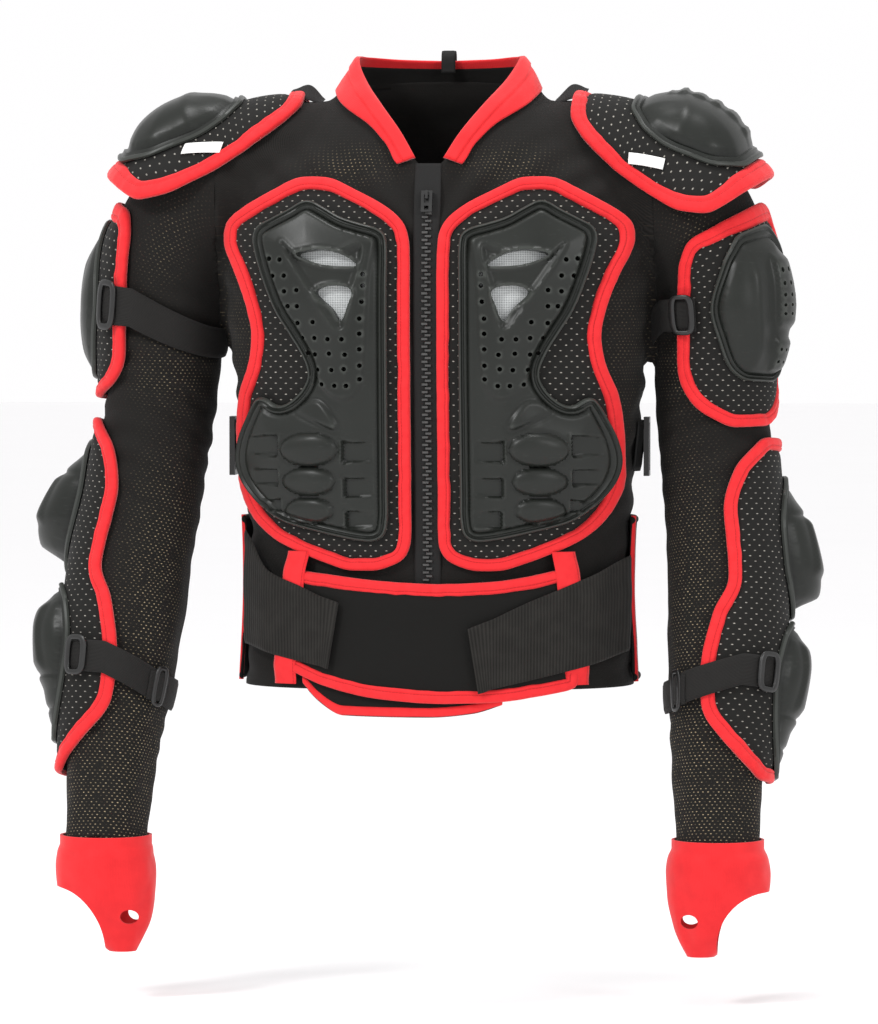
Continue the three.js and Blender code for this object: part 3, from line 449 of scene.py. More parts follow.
def inset(loop, distance, easing=3):
    """The same loop moved inward, with the turns that fold over smoothed out."""
    ahead = unit(np.roll(loop, -1, axis=0) - np.roll(loop, 1, axis=0))
    inward = np.stack([-ahead[:, 1], ahead[:, 0]], axis=1) * np.sign(area_of(loop))
    return eased(loop + inward * distance, easing)


def inside(points, loop):
    """Signed distance to a loop: positive within it."""
    a, b = loop, np.roll(loop, -1, axis=0)
    best = np.full(len(points), np.inf)
    crossed = np.zeros(len(points), bool)
    for start in range(0, len(points), 4000):
        p = points[start:start + 4000, None, :]
        d = b - a
        t = np.clip(((p - a) * d).sum(-1) / np.maximum((d * d).sum(-1), 1e-12), 0, 1)
        gap = np.linalg.norm(p - (a + t[..., None] * d), axis=-1).min(axis=1)
        y = p[..., 1]
        cuts = (a[:, 1] > y) != (b[:, 1] > y)
        with np.errstate(divide="ignore", invalid="ignore"):
            x = a[:, 0] + (y - a[:, 1]) * d[:, 0] / d[:, 1]
        crossed[start:start + 4000] = (np.sum(cuts & (p[..., 0] < x), axis=1) % 2) == 1
        best[start:start + 4000] = gap
    return np.where(crossed, best, -best)


def patch(name, loop, place, height, material, spacing, holes=(), rings=()):
    """A closed solid over a flat outline: its top stands height(u, v, edge distance) proud.
    Holes go right through. The mesh follows the outline in rings, then fills with a grid."""
    rows = [loop]
    for distance in rings:
        ring = resample(inset(loop, distance), spacing)
        rows.append(ring[inside(ring, loop) > distance * 0.8])
    margin = (rings[-1] if rings else 0) + spacing * 0.7
    low, high = loop.min(axis=0), loop.max(axis=0)
    u, v = np.meshgrid(np.arange(low[0], high[0], spacing), np.arange(low[1], high[1], spacing))
    u[1::2] += spacing / 2
    cells = np.stack([u.ravel(), v.ravel()], axis=1)
    keep = inside(cells, loop) > margin
    for hole in holes:
        keep &= inside(cells, hole) < -spacing * 0.7
    points = [*rows, *holes, cells[keep]]
    bounds, at = [], 0
    for group in points:
        if group is rows[0] or any(group is hole for hole in holes):
            ring = [(at + i, at + (i + 1) % len(group)) for i in range(len(group))]
            bounds.extend(ring)
        at += len(group)
    flat = np.vstack(points)
    found = delaunay_2d_cdt([Vector(p) for p in flat.tolist()], bounds, [], 1, 1e-5)
    flat = np.array([tuple(p) for p in found[0]])
    triangles = np.array([tuple(f) for f in found[2]])
    middle = flat[triangles].mean(axis=1)
    good = inside(middle, loop) > 0
    for hole in holes:
        good &= inside(middle, hole) < 0
    triangles = triangles[good]
    count = len(flat)
    u, v = flat[:, 0], flat[:, 1]
    top = place(u, v, height(u, v, np.maximum(inside(flat, loop), 0)))
    bottom = place(u, v, np.zeros(count))
    sides = {}
    for tri in triangles:
        for k in range(3):
            pair = (int(tri[k]), int(tri[(k + 1) % 3]))
            if (pair[1], pair[0]) in sides:
                del sides[(pair[1], pair[0])]
            else:
                sides[pair] = True
    walls = [(b, a, a + count, b + count) for a, b in sides]
    faces = [*triangles.tolist(), *(triangles[:, ::-1] + count).tolist(), *walls]
    return make(name, np.vstack([top, bottom]), faces, material, np.vstack([flat, flat]))


def grid_faces(rows, cols, closed):
    """The faces between rings of points; the ends are joined if closed, else capped."""
    faces = []
    for i in range(rows if closed else rows - 1):
        a, b = i * cols, (i + 1) % rows * cols
        faces += [(a + j, b + j, b + (j + 1) % cols, a + (j + 1) % cols) for j in range(cols)]
    if not closed:
        faces += [list(range(cols))[::-1], [(rows - 1) * cols + j for j in range(cols)]]
    return faces


def strip(name, rows, cols, place, material, size, edge=0.6):
    """A ribbon: place(along 0..1, across -0.5..0.5, up 0..1) with rounded long edges."""
    length, width = size
    across = np.linspace(-0.5, 0.5, cols)
    across = np.concatenate([across, across[::-1]])
    soft = 1 - 0.5 * (1 - smooth(0, edge * 2, (0.5 - np.abs(across)) * width))
    up = np.where(np.arange(2 * cols) < cols, soft, 0.5 - soft / 2)
    along, across = np.meshgrid(np.linspace(0, 1, rows), across, indexing="ij")
    body = place(along, across, np.broadcast_to(up, along.shape))
    uv = xyz(along * length, across * width).reshape(-1, 2)
    return make(name, body.reshape(-1, 3), grid_faces(rows, 2 * cols, False), material, uv)


BIND_PROFILE = [(-0.5, 0.0), (-0.5, 0.45), (-0.46, 0.72), (-0.36, 0.92), (-0.2, 1.0), (0.0, 0.98),
                (0.14, 0.94), (0.2, 0.84), (0.26, 0.93), (0.38, 0.86), (0.47, 0.66), (0.5, 0.4),
                (0.5, 0)]


def binding(name, loop, width, base, tall, place, material, seed=1):
    """A folded ribbon sewn round the edge of a panel, with its stitch line near the inner side."""
    across = np.array([p[0] + 0.5 for p in BIND_PROFILE]) * width
    lifts = np.array([p[1] for p in BIND_PROFILE]) * tall
    wave = flat_noise(loop[:, 0], loop[:, 1], 9, seed)
    pucker = flat_noise(loop[:, 0], loop[:, 1], 4, seed + 5)
    rows = []
    for out, rise in zip(across, lifts):
        line = inset(loop, out, easing=2 + int(out / 2)) if out > 0 else loop
        line = inset(line, 0.45 * wave[:, None] * (0.4 + out / width), 1)
        rows.append(place(line[:, 0], line[:, 1], base + rise * (1 + 0.07 * wave + 0.06 * pucker)))
    uv = xyz(run_of(loop)[:, None], across[None, :]).reshape(-1, 2)
    return make(name, np.stack(rows, axis=1).reshape(-1, 3),
                grid_faces(len(loop), len(across), True), material, uv)


# Materials


class Value:
    """A number socket of a shader tree that takes sums."""

    def __init__(self, tree, socket):
        self.tree, self.socket = tree, socket

    def math(self, operation, *others):
        node = self.tree.nodes.new("ShaderNodeMath")
        node.operation = operation
        for slot, item in zip(node.inputs, (self, *others)):
            if isinstance(item, Value):
                self.tree.links.new(item.socket, slot)
            else:
                slot.default_value = item
        return Value(self.tree, node.outputs[0])

    def __add__(self, other):
        return self.math("ADD", other)

    def __sub__(self, other):
        return self.math("SUBTRACT", other)

    def __mul__(self, other):
        return self.math("MULTIPLY", other)

    def __truediv__(self, other):
        return self.math("DIVIDE", other)

    def fraction(self):
        return self.math("FRACT")

    def wave(self, pitch):
        return (self * (2 * math.pi / pitch)).math("SINE") * 0.5 + 0.5

    def ramp(self, low, high):
        node = self.tree.nodes.new("ShaderNodeMapRange")
        node.interpolation_type = "SMOOTHSTEP"
        node.inputs["From Min"].default_value = low
        node.inputs["From Max"].default_value = high
        self.tree.links.new(self.socket, node.inputs["Value"])
        return Value(self.tree, node.outputs["Result"])


class Material:
    """A Principled material with node-made colour, roughness and bump."""

    def __init__(self, name, roughness, gloss=0.5, sheen=0.0, nap=0.5, tint=(1, 1, 1), metallic=0.0):
        self.data = bpy.data.materials.new(name)
        self.data.use_nodes = True
        self.tree = self.data.node_tree
        self.shader = self.tree.nodes["Principled BSDF"]
        sockets = {"Roughness": roughness, "Specular IOR Level": gloss, "Metallic": metallic,
                   "Sheen Weight": sheen, "Sheen Roughness": nap, "Sheen Tint": (*tint, 1)}
        for key, value in sockets.items():
            self.shader.inputs[key].default_value = value
        self.last_bump = None

    def node(self, kind, **inputs):
        """A shader node with some of its inputs set."""
        node = self.tree.nodes.new("ShaderNode" + kind)
        for key, value in inputs.items():
            node.inputs[key].default_value = value
        return node

    def link(self, start, end):
        self.tree.links.new(start, end)

    def value(self, node, output):
        return Value(self.tree, node.outputs[output])

    def place(self):
        """The cloth's own mm, along and across."""
        node, parts = self.node("UVMap"), self.node("SeparateXYZ")
        node.uv_map = "cloth"
        self.link(node.outputs[0], parts.inputs[0])
        return self.value(parts, "X") * 1000, self.value(parts, "Y") * 1000

    def edges(self):
        """Below a half in the creases of a mesh, above it on its edges."""
        return self.value(self.node("NewGeometry"), "Pointiness")

    def attribute(self, name):
        node = self.node("Attribute")
        node.attribute_name = name
        return self.value(node, "Fac")

    def noise(self, scale, detail=3.0, stretch=(1, 1, 1)):
        where, turn = self.node("TexCoord"), self.node("Mapping", Scale=stretch)
        node = self.node("TexNoise", Scale=scale, Detail=detail)
        self.link(where.outputs["Object"], turn.inputs["Vector"])
        self.link(turn.outputs["Vector"], node.inputs["Vector"])
        return self.value(node, "Fac")

    def mix(self, share, low, high):
        """A colour between two colours; each may be three numbers or a socket."""
        node = self.node("Mix")
        node.data_type = "RGBA"
        self.link(share.socket, node.inputs[0])
        for slot, item in ((node.inputs[6], low), (node.inputs[7], high)):
            if isinstance(item, tuple):
                slot.default_value = (*item, 1)
            else:
                self.link(item, slot)
        return node.outputs[2]

    def colour(self, socket):
        self.link(socket, self.shader.inputs["Base Color"])

    def roughness(self, value):
        self.link(value.socket, self.shader.inputs["Roughness"])

    def bump(self, value, strength, distance):
        node = self.node("Bump", Strength=strength, Distance=distance * MM)
        self.link(value.socket, node.inputs["Height"])
        if self.last_bump:
            self.link(self.last_bump.outputs[0], node.inputs["Normal"])
        self.link(node.outputs[0], self.shader.inputs["Normal"])
        self.last_bump = node


def dots(along, across, pitch_along, pitch_across, long, wide, soft=0.35):
    """Staggered spots of the given size in mm."""
    row = across / pitch_across
    odd = row.math("FLOOR").math("MODULO", 2.0).math("ABSOLUTE")
    u = ((along / pitch_along + odd * 0.5).fraction() - 0.5) * (pitch_along / long * 2)
    v = (row.fraction() - 0.5) * (pitch_across / wide * 2)
    far = (u * u + v * v).math("SQRT")
    return far.ramp(1 + soft, 1 - soft)


def materials():
    out = {}
    # Open knitted cloth: black, with pale points of painted light in the holes where the light comes
    # through
    m = Material("black_mesh", 0.85, 0.12, 0.03)
    u, v = m.place()
    holes = dots(u, v, 4.8, 2.9, 1.6, 0.95)
    lit = m.attribute("lit")
    patchy = m.noise(240, 2).ramp(0.30, 0.75)
    rib = (u + v * 0.5).wave(0.9)
    shade = m.mix(rib, (0.0062, 0.0058, 0.0052), (0.0135, 0.0125, 0.0115))
    # painted light: pale points in the holes, strongest where the lit attribute is high
    m.colour(m.mix(holes * lit * patchy, shade, (0.40, 0.32, 0.20)))
    m.bump((holes * -1) + rib * 0.25, 0.5, 0.5)
    m.bump(m.noise(900, 2), 0.25, 0.3)
    out["mesh"] = m.data

    # Padding under a perforated cover
    m = Material("perforated_padding", 0.82, 0.15, 0.03)
    u, v = m.place()
    spots = dots(u, v, 9.4, 4.9, 2.0, 1.0, 0.3)
    fine = m.noise(2200, 2)
    worn = m.noise(420, 2).ramp(0.3, 0.75)
    base = m.mix(fine, (0.006, 0.0058, 0.0053), (0.014, 0.0135, 0.0125))
    m.colour(m.mix(spots * (worn * 0.6 + 0.4), base, (0.36, 0.34, 0.30)))
    m.bump(spots * -1 + fine * 0.2, 0.55, 0.6)
    out["pad"] = m.data

    # Red binding with a stitch line
    m = Material("red_binding", 0.72, 0.2, 0.25, 0.45, (1.0, 0.55, 0.55))
    u, v = m.place()
    rib = u.wave(0.8) * 0.5 + v.wave(0.9) * 0.5
    line = (v - 7.6).math("ABSOLUTE").ramp(0.55, 0.25)
    stitch = line * ((u / 3.1).fraction() - 0.5).math("ABSOLUTE").ramp(0.46, 0.40)
    cloudy = m.noise(160, 3)
    red = m.mix(cloudy, (0.60, 0.012, 0.017), (0.76, 0.028, 0.032))
    red = m.mix(rib * 0.35, red, (0.50, 0.009, 0.012))
    m.colour(m.mix(stitch * 0.55, red, (0.30, 0.005, 0.008)))
    m.bump(rib * 0.18 + line * -0.7 + stitch * 0.6, 0.55, 0.45)
    out["red"] = m.data

    # Red stretch knit
    m = Material("red_knit", 0.7, 0.2, 0.3, 0.4, (1.0, 0.6, 0.6))
    u, v = m.place()
    rib = u.wave(1.5)
    cross = v.wave(1.1)
    cloudy = m.noise(70, 3)
    red = m.mix(cloudy, (0.58, 0.012, 0.016), (0.76, 0.024, 0.028))
    m.colour(m.mix(rib * cross * 0.4, red, (0.46, 0.008, 0.011)))
    m.bump(rib * 0.7 + cross * 0.3, 0.35, 0.25)
    m.bump(m.noise(35, 3), 0.25, 3.0)
    out["knit"] = m.data

    # Ribbed elastic
    m = Material("elastic", 0.78, 0.15, 0.03)
    u, v = m.place()
    rib = v.wave(1.25)
    weft = u.wave(0.9)
    m.colour(m.mix(rib * 0.6 + weft * 0.4, (0.0055, 0.0052, 0.0048), (0.021, 0.020, 0.019)))
    m.bump(rib * 0.75 + weft * 0.25, 0.6, 0.4)
    out["elastic"] = m.data

    # Wide hook-and-loop belt elastic: ribs across the strap and a worn nap
    m = Material("belt_elastic", 0.86, 0.12, 0.04)
    u, v = m.place()
    rib = u.wave(2.6)
    nap = m.noise(1500, 3)
    patchy = m.noise(60, 3).ramp(0.35, 0.7)
    worn = rib * 0.5 + nap * 0.3 + patchy * 0.2
    m.colour(m.mix(worn, (0.0065, 0.0060, 0.0055), (0.026, 0.0245, 0.022)))
    m.bump(rib * 0.7 + nap * 0.4, 0.6, 0.5)
    out["belt"] = m.data

    # Woven webbing
    m = Material("webbing", 0.7, 0.2)
    u, v = m.place()
    twill = (u + v * 1.6).wave(1.7)
    m.colour(m.mix(twill, (0.0045, 0.0045, 0.0045), (0.016, 0.016, 0.0155)))
    m.bump(twill, 0.5, 0.35)
    out["webbing"] = m.data

    # Smooth belt cloth
    m = Material("belt_cloth", 0.8, 0.12, 0.03)
    u, v = m.place()
    knit = u.wave(0.8) * v.wave(0.8)
    lint = m.noise(1400, 4).ramp(0.66, 0.8)
    shade = m.mix(knit, (0.0048, 0.0046, 0.0042), (0.0115, 0.0110, 0.0100))
    m.colour(m.mix(lint * 0.35, shade, (0.06, 0.058, 0.054)))
    m.bump(knit * 0.5 + m.noise(700, 2) * 0.5, 0.4, 0.3)
    out["smooth"] = m.data

    # Silver woven mesh behind the windows
    m = Material("silver_mesh", 0.5, metallic=0.15)
    u, v = m.place()
    grid = (u.wave(1.5) * v.wave(1.5)).ramp(0.08, 0.34)
    m.colour(m.mix(grid, (0.62, 0.64, 0.64), (0.20, 0.21, 0.21)))
    m.bump(grid * -1, 0.5, 0.4)
    out["silver"] = m.data

    # Bare white tag
    m = Material("white_tag", 0.6)
    u, v = m.place()
    satin = u.wave(0.6)
    m.colour(m.mix(satin * 0.6 + m.noise(300, 2) * 0.4, (0.74, 0.74, 0.72), (0.90, 0.90, 0.88)))
    m.bump(satin, 0.2, 0.15)
    out["tag"] = m.data

    # Moulded satin plastic: a fine grain, scuffs and paler worn spots, painted shade in its creases and
    # paler sharp edges that are partly wear and partly painted highlight
    m = Material("hard_plastic", 0.4, 0.24)
    grain = m.noise(1700, 2)
    cloudy = m.noise(22, 3)
    scuff = m.noise(120, 5, (1, 1, 4)).ramp(0.60, 0.78)
    base = m.mix(cloudy, (0.0090, 0.0102, 0.0086), (0.0150, 0.0168, 0.0144))
    # painted shade: darker in the creases and recesses of the mesh
    base = m.mix(m.edges().ramp(0.49, 0.40), base, (0.0012, 0.0012, 0.0012))
    # paler on the sharp outer edges: partly edge wear, partly painted highlight
    base = m.mix(m.edges().ramp(0.515, 0.58) * 0.55, base, (0.055, 0.060, 0.054))
    m.colour(m.mix(scuff * 0.15, base, (0.06, 0.064, 0.06)))
    m.roughness(grain * 0.10 + cloudy * 0.10 + scuff * 0.06 + 0.26)
    m.bump(grain, 0.16, 0.18)
    m.bump(m.noise(260, 2), 0.10, 0.3)
    out["plastic"] = m.data

    # Moulded black plastic of buckles, rings and the zip
    m = Material("black_plastic", 0.32, 0.45)
    cloudy = m.noise(80, 3)
    m.colour(m.mix(cloudy, (0.006, 0.006, 0.006), (0.013, 0.013, 0.0125)))
    m.roughness(cloudy * 0.2 + 0.24)
    m.bump(m.noise(1300, 2), 0.12, 0.15)
    out["gloss"] = m.data

    # Grey moulded teeth of the zip
    m = Material("zip_plastic", 0.4, 0.5)
    cloudy = m.noise(300, 3)
    m.colour(m.mix(cloudy, (0.026, 0.026, 0.025), (0.055, 0.055, 0.053)))
    m.bump(m.noise(1500, 2), 0.12, 0.12)
    out["teeth"] = m.data
    return out


LOOK = materials()

# Body and sleeves


def tube(rows, cols, place):
    """A closed tube with fan ends: place(share along, angle) gives its wall."""
    turn = np.linspace(0, 2 * np.pi, cols, endpoint=False)
    wall = place(*np.meshgrid(np.linspace(0, 1, rows), turn, indexing="ij"))
    points = np.vstack([wall.reshape(-1, 3), wall[0].mean(axis=0), wall[-1].mean(axis=0)])
    faces = []
    for i in range(rows - 1):
        for j in range(cols):
            a, b, k = i * cols, (i + 1) * cols, (j + 1) % cols
            faces.append((a + j, a + k, b + k, b + j))
    top, bottom = rows * cols, rows * cols + 1
    for j in range(cols):
        k = (j + 1) % cols
        faces.append((top, k, j))
        faces.append((bottom, (rows - 1) * cols + j, (rows - 1) * cols + k))
    return points, faces


def cut(obj, point, normal, remove=True, within=None):
    """Cuts a mesh by a plane (mm) and drops what lies on the side of the normal."""
    with editing(obj) as work:
        faces = [f for f in work.faces if within is None or within(f.calc_center_median() / MM)]
        geometry = set(faces)
        for face in faces:
            geometry.update(face.verts)
            geometry.update(face.edges)
        bmesh.ops.bisect_plane(work, geom=list(geometry), plane_co=Vector(point) * MM,
                               plane_no=Vector(normal), clear_outer=remove)


def drop_faces(obj, test):
    with editing(obj) as work:
        dead = [f for f in work.faces if test(f.calc_center_median() / MM)]
        bmesh.ops.delete(work, geom=dead, context="FACES")
        loose = [v for v in work.verts if not v.link_faces]
        bmesh.ops.delete(work, geom=loose, context="VERTS")


def body_wall(along, angle):
    z = -along * BODY_LENGTH * 1.03
    points = body_level(angle, np.maximum(z, -BODY_LENGTH), 0)
    points[..., 2] = z
    rise = NECK_RISE * np.maximum(0, points[..., 1] / (CHEST_DEPTH / 4))
    points[..., 2] += np.where(along <= 0, rise + 6, 0)
    return points


def sleeve_wall(sleeve):
    return lambda along, angle: sleeve.level(along * (sleeve.length + 14), angle, 0)


# Creases of a sleeve: place along it, reach and strength
SLEEVE_CREASES = [(330, 90, 1.0), (250, 40, 0.7), (620, 60, 0.5)]
CREASE_PITCH, SIDE_PITCH, PULL_PITCH = 27, 33, 38
# How far the cloth may move in and out, in mm
FOLD_LIMITS = (-4.2, 1.7)
# Patches of painted light on a sleeve: place along it, reach, angle, spread and strength
SLEEVE_PATCHES = [(285, 30, 1.9, 0.7, 0.7), (165, 40, 1.5, 0.3, 0.35)]


def cloth_folds(points, hand=None):
    """How far the worn cloth moves out (+) or in (-) at each point."""
    flow = points.copy()
    flow[:, 2] += 18 * noise(points, 70, 3)
    broad = noise(flow, (60, 60, 34), 11)
    fine = noise(flow, (26, 26, 15), 12)
    amount = -0.6 + 1.1 * broad + 0.5 * fine
    if hand:
        distance, angle = SLEEVES[hand].locate(points)
        bend = sum(strength * bump(distance, place, reach) for place, reach, strength in SLEEVE_CREASES)
        slant = distance + 16 * np.sin(angle + 0.6) + 9 * noise(points, 45, 21)
        creases = np.sin(slant * 2 * np.pi / CREASE_PITCH + 2.2 * noise(points, 60, 22))
        amount += 1.5 * bend * (creases - 0.6) * (0.55 + 0.45 * np.sin(angle - 0.4))
        run = 1.3 * np.sin(angle * 5 + distance / 60 + 1.5 * noise(points, 80, 23))
        amount += run * smooth(420, 520, distance) * 0.6
    else:
        down = -points[:, 2]
        side = smooth(110, 180, np.abs(points[:, 0]))
        slant = down + 0.5 * np.abs(points[:, 0]) + 10 * noise(points, 60, 31)
        amount += 1.1 * side * (np.sin(slant * 2 * np.pi / SIDE_PITCH) - 0.5)
        pull = smooth(20, 90, down) * (1 - smooth(110, 190, down))
        slant = np.abs(points[:, 0]) + down * 0.9
        folds = np.sin(slant * 2 * np.pi / PULL_PITCH + 2 * noise(points, 50, 33))
        amount += 1.2 * pull * (folds - 0.5)
    return np.clip(amount * 1.3, *FOLD_LIMITS)


def lit_zones(points, hand=None):
    """Where the open knit shows pale points of painted light in its holes, from 0 to 1."""
    if hand:
        distance, angle = SLEEVES[hand].locate(points)
        inner = bump(angle, 2.15, 0.62)
        lower = smooth(300, 470, distance) * inner + 0.8 * smooth(560, 640, distance) * (1 - inner)
        zones = sum((bump(distance, place, reach) * bump(angle, turn, spread) * strength
                     for place, reach, turn, spread, strength in SLEEVE_PATCHES), lower)
        # the painted light grows toward the front of the sleeve
        front = smooth(-0.5, 0.4, np.sin(angle))
        return np.clip(zones * (0.25 + 0.75 * front), 0, 1)
    front = points[:, 1] < 0
    yoke = bump(-points[:, 2], 70, 14) * bump(np.abs(points[:, 0]), 70, 34) * front * 0.6
    side = smooth(150, 168, np.abs(points[:, 0])) * bump(-points[:, 2], 240, 80) * 0.3
    return np.clip(yoke + side, 0, 1)


def wrap_uv(obj, across, along, period):
    """Cloth coordinates round a tube, without a smeared row at the seam."""
    mesh = obj.data
    index = pull(mesh.loops, "vertex_index", int)
    starts = pull(mesh.polygons, "loop_start", int)
    u, turn = across[index], period[index]
    first = np.repeat(u[starts], pull(mesh.polygons, "loop_total", int))
    u = u - np.round((u - first) / turn) * turn
    lay_uv(mesh, xyz(u, along[index]))


def whole_cloth():
    """Body and sleeves grown together into one skin."""
    points, faces, at = [], [], 0
    walls = [(110, 120, body_wall)] + [(130, 72, sleeve_wall(SLEEVES[hand])) for hand in SIDE]
    for rows, cols, wall in walls:
        p, f = tube(rows, cols, wall)
        points.append(p)
        faces += [tuple(i + at for i in face) for face in f]
        at += len(p)
    whole = make("cloth_whole", np.vstack(points), faces, LOOK["mesh"])
    modify(whole, "REMESH", mode="VOXEL", voxel_size=CLOTH_CELL * MM)
    modify(whole, "SMOOTH", factor=0.5, iterations=6)
    apply(whole)
    return whole


def cut_body(obj):
    """Opens the armholes, hem, neck and front slit."""
    half = ARMHOLE_WIDTH / 2
    rise = NECK_DROP + NECK_EDGE
    for side in (1, -1):
        cut(obj, (side * half, 0, 0), (side, 0, 0))
    cut(obj, (0, 0, -BODY_LENGTH), (0, 0, -1))
    cut(obj, (0, 0, -2), (0, -0.16, 1), within=lambda c: abs(c.x) < 95 and c.z > -24)
    slope = Vector((NECK_HALF - ZIP_OPENING, 0, rise)).normalized()
    for side in (-1, 1):
        cut(obj, (side * ZIP_OPENING, 0, -NECK_DROP), (slope.z, 0, -slope.x * side), remove=False,
            within=lambda c: c.y < 0 and c.z > -NECK_DROP - 6 and abs(c.x) < NECK_HALF + 8)
        cut(obj, (side * ZIP_OPENING / 2, 0, 0), (1, 0, 0), remove=False,
            within=lambda c: c.y < 0 and abs(c.x) < 12)

    def open_neck(c):
        if c.y > 0:
            return False
        wide = ZIP_OPENING + (c.z + NECK_DROP) * (NECK_HALF - ZIP_OPENING) / rise
        return (c.z > -NECK_DROP and abs(c.x) < wide) or abs(c.x) < ZIP_OPENING / 2

    drop_faces(obj, open_neck)


def cut_sleeve(obj, sleeve):
    """Opens a sleeve at the armhole and the wrist."""
    end = np.array(1.0)
    cut(obj, (sleeve.side * ARMHOLE_WIDTH / 2, 0, 0), (-sleeve.side, 0, 0))
    cut(obj, sleeve.path(end), sleeve.axes(end)[0])


def cloth_piece(whole, name, hand=None):
    obj = add(name, whole.data.copy())
    if hand:
        cut_sleeve(obj, SLEEVES[hand])
    else:
        cut_body(obj)
    at = get_points(obj)
    normals = pull(obj.data.vertices, "normal", wide=3)
    quiet = smooth(0, 14, np.abs(np.abs(at[:, 0]) - ARMHOLE_WIDTH / 2)) * 0.8 + 0.2
    if hand:
        along, angle = SLEEVES[hand].locate(at)
        quiet *= smooth(-2, 16, SLEEVES[hand].length - along)
        radius = SLEEVES[hand].radius(along)
    else:
        quiet *= smooth(0, 18, BODY_LENGTH + at[:, 2])
        along, angle = at[:, 2], np.arctan2(at[:, 0], -at[:, 1])
        radius = np.full(len(at), BODY_RADIUS)
    lit = lit_zones(at, hand)
    set_points(obj, at + normals * (cloth_folds(at, hand) * quiet)[:, None])
    # stores the painted light in the holes of the knit for the black_mesh material
    store = obj.data.attributes.new("lit", "FLOAT", "POINT")
    store.data.foreach_set("value", lit.astype(np.float32))
    wrap_uv(obj, angle * radius, along, 2 * np.pi * radius)
    modify(obj, "SOLIDIFY", thickness=CLOTH * MM, offset=-1)
    apply(obj)
    round_off(obj)
    return settle(obj, "black_mesh", f"sleeve_{hand}" if hand else "torso_shell")


CLOTH_CELL = 4.5
NECK_EDGE = 12.0
WHOLE = whole_cloth()
cloth_piece(WHOLE, "torso_cloth")
for hand in SIDE:
    cloth_piece(WHOLE, f"sleeve_cloth_{hand}", hand)
bpy.data.objects.remove(WHOLE)

# Chest panels

PANEL_WIDTH, PANEL_HEIGHT, PANEL_DOWN = 172.0, 357.0, 81.0
PANEL_INSET = {"left": 15.5, "right": 8.5}
PLATE_WIDTH, PLATE_HEIGHT, PLATE_DOWN = 142.0, 305.0, 106.0
PLATE_INSET = {"left": 35.5, "right": 28.5}
PLATE_LIFT = SEAT + PAD + PLATE_GAP

CHEST_PANEL = [
    [0.008, 0.42, 0.6], [0.04, 0.29, 0.727], [0.08, 0.13, 0.88], [0.12, 0.035, 0.985],
    [0.16, 0.005, 0.995], [0.25, 0, 0.92], [0.34, 0, 0.855], [0.4, 0, 0.832],
    [0.47, 0, 0.85], [0.55, 0, 0.912], [0.65, 0, 0.934], [0.76, 0, 0.936],
    [0.85, 0, 0.87], [0.92, 0, 0.73], [0.965, 0.03, 0.53], [0.998, 0.17, 0.34],
]

# Outlines of the plate and its relief: shares across from the zip and down from the top
PLATE_OUTLINE = [
    (0.49, 0), (0.4, 0.02), (0.29, 0.048), (0.18, 0.064), (0.06, 0.08), (0.012, 0.098),
    (0, 0.13), (0, 0.25), (0, 0.4), (0, 0.55), (0, 0.7), (0, 0.85),
    (0.002, 0.935), (0.025, 0.98), (0.085, 0.997), (0.18, 0.996), (0.305, 0.985), (0.44, 0.97),
    (0.564, 0.955), (0.665, 0.937), (0.76, 0.905), (0.87, 0.858), (0.95, 0.812), (0.988, 0.765),
    (0.985, 0.725), (0.95, 0.675), (0.895, 0.628), (0.84, 0.588), (0.795, 0.567), (0.745, 0.572),
    (0.69, 0.59), (0.64, 0.589), (0.57, 0.567), (0.52, 0.538), (0.494, 0.508), (0.5, 0.48),
    (0.54, 0.435), (0.609, 0.38), (0.693, 0.314), (0.765, 0.226), (0.825, 0.14), (0.838, 0.104),
    (0.805, 0.076), (0.72, 0.052), (0.61, 0.024), (0.545, 0.005),
]
TONGUE = [
    (0.83, 0.02), (0.1, 0.02), (0.105, 0.25), (0.125, 0.45), (0.15, 0.535), (0.215, 0.572),
    (0.305, 0.572), (0.4, 0.538), (0.49, 0.47), (0.64, 0.36), (0.8, 0.24),
]
VALLEY = [(0.640, 0.118), (0.530, 0.158), (0.350, 0.158), (0.155, 0.128), (0.205, 0.255),
          (0.262, 0.368), (0.292, 0.368), (0.455, 0.262)]
CRESCENT = [(0.545, 0.155), (0.475, 0.145), (0.400, 0.142), (0.320, 0.148), (0.245, 0.162),
            (0.18, 0.186), (0.26, 0.188), (0.37, 0.185), (0.47, 0.173)]
FAN = [(0.432, 0.262), (0.395, 0.248), (0.320, 0.243), (0.235, 0.249), (0.205, 0.262),
       (0.232, 0.3), (0.268, 0.342), (0.285, 0.345), (0.33, 0.312)]
SPUR = [(0.570, 0.600), (0.430, 0.573), (0.355, 0.600), (0.292, 0.650), (0.312, 0.661), (0.400, 0.645)]
PLATE_RELIEF = [("tongue", TONGUE, 3, 2), ("valley", VALLEY, 2, 1), ("crescent", CRESCENT, 1.6, 1),
                ("fan", FAN, 1.6, 1), ("spur", SPUR, 1.6, 1)]
WINDOW_MESH = [(0.60, 0.12), (0.12, 0.12), (0.14, 0.26), (0.25, 0.37), (0.33, 0.37), (0.50, 0.26)]
VENTS = [
    (0.708, 0.166), (0.643, 0.169), (0.688, 0.214), (0.617, 0.214), (0.617, 0.259), (0.539, 0.256),
    (0.597, 0.301), (0.539, 0.301), (0.539, 0.349), (0.442, 0.346), (0.513, 0.392), (0.435, 0.392),
    (0.351, 0.395), (0.266, 0.395), (0.487, 0.437), (0.435, 0.44), (0.344, 0.437), (0.247, 0.44),
    (0.422, 0.485), (0.331, 0.485), (0.253, 0.482), (0.396, 0.527), (0.312, 0.53), (0.24, 0.53),
    (0.143, 0.211), (0.143, 0.244), (0.149, 0.289), (0.162, 0.337), (0.162, 0.38), (0.162, 0.425),
    (0.162, 0.473), (0.162, 0.512),
]
OVALS = [(0.473, 0.718, 0.338, 0.097), (0.473, 0.814, 0.312, 0.085), (0.480, 0.904, 0.286, 0.079)]
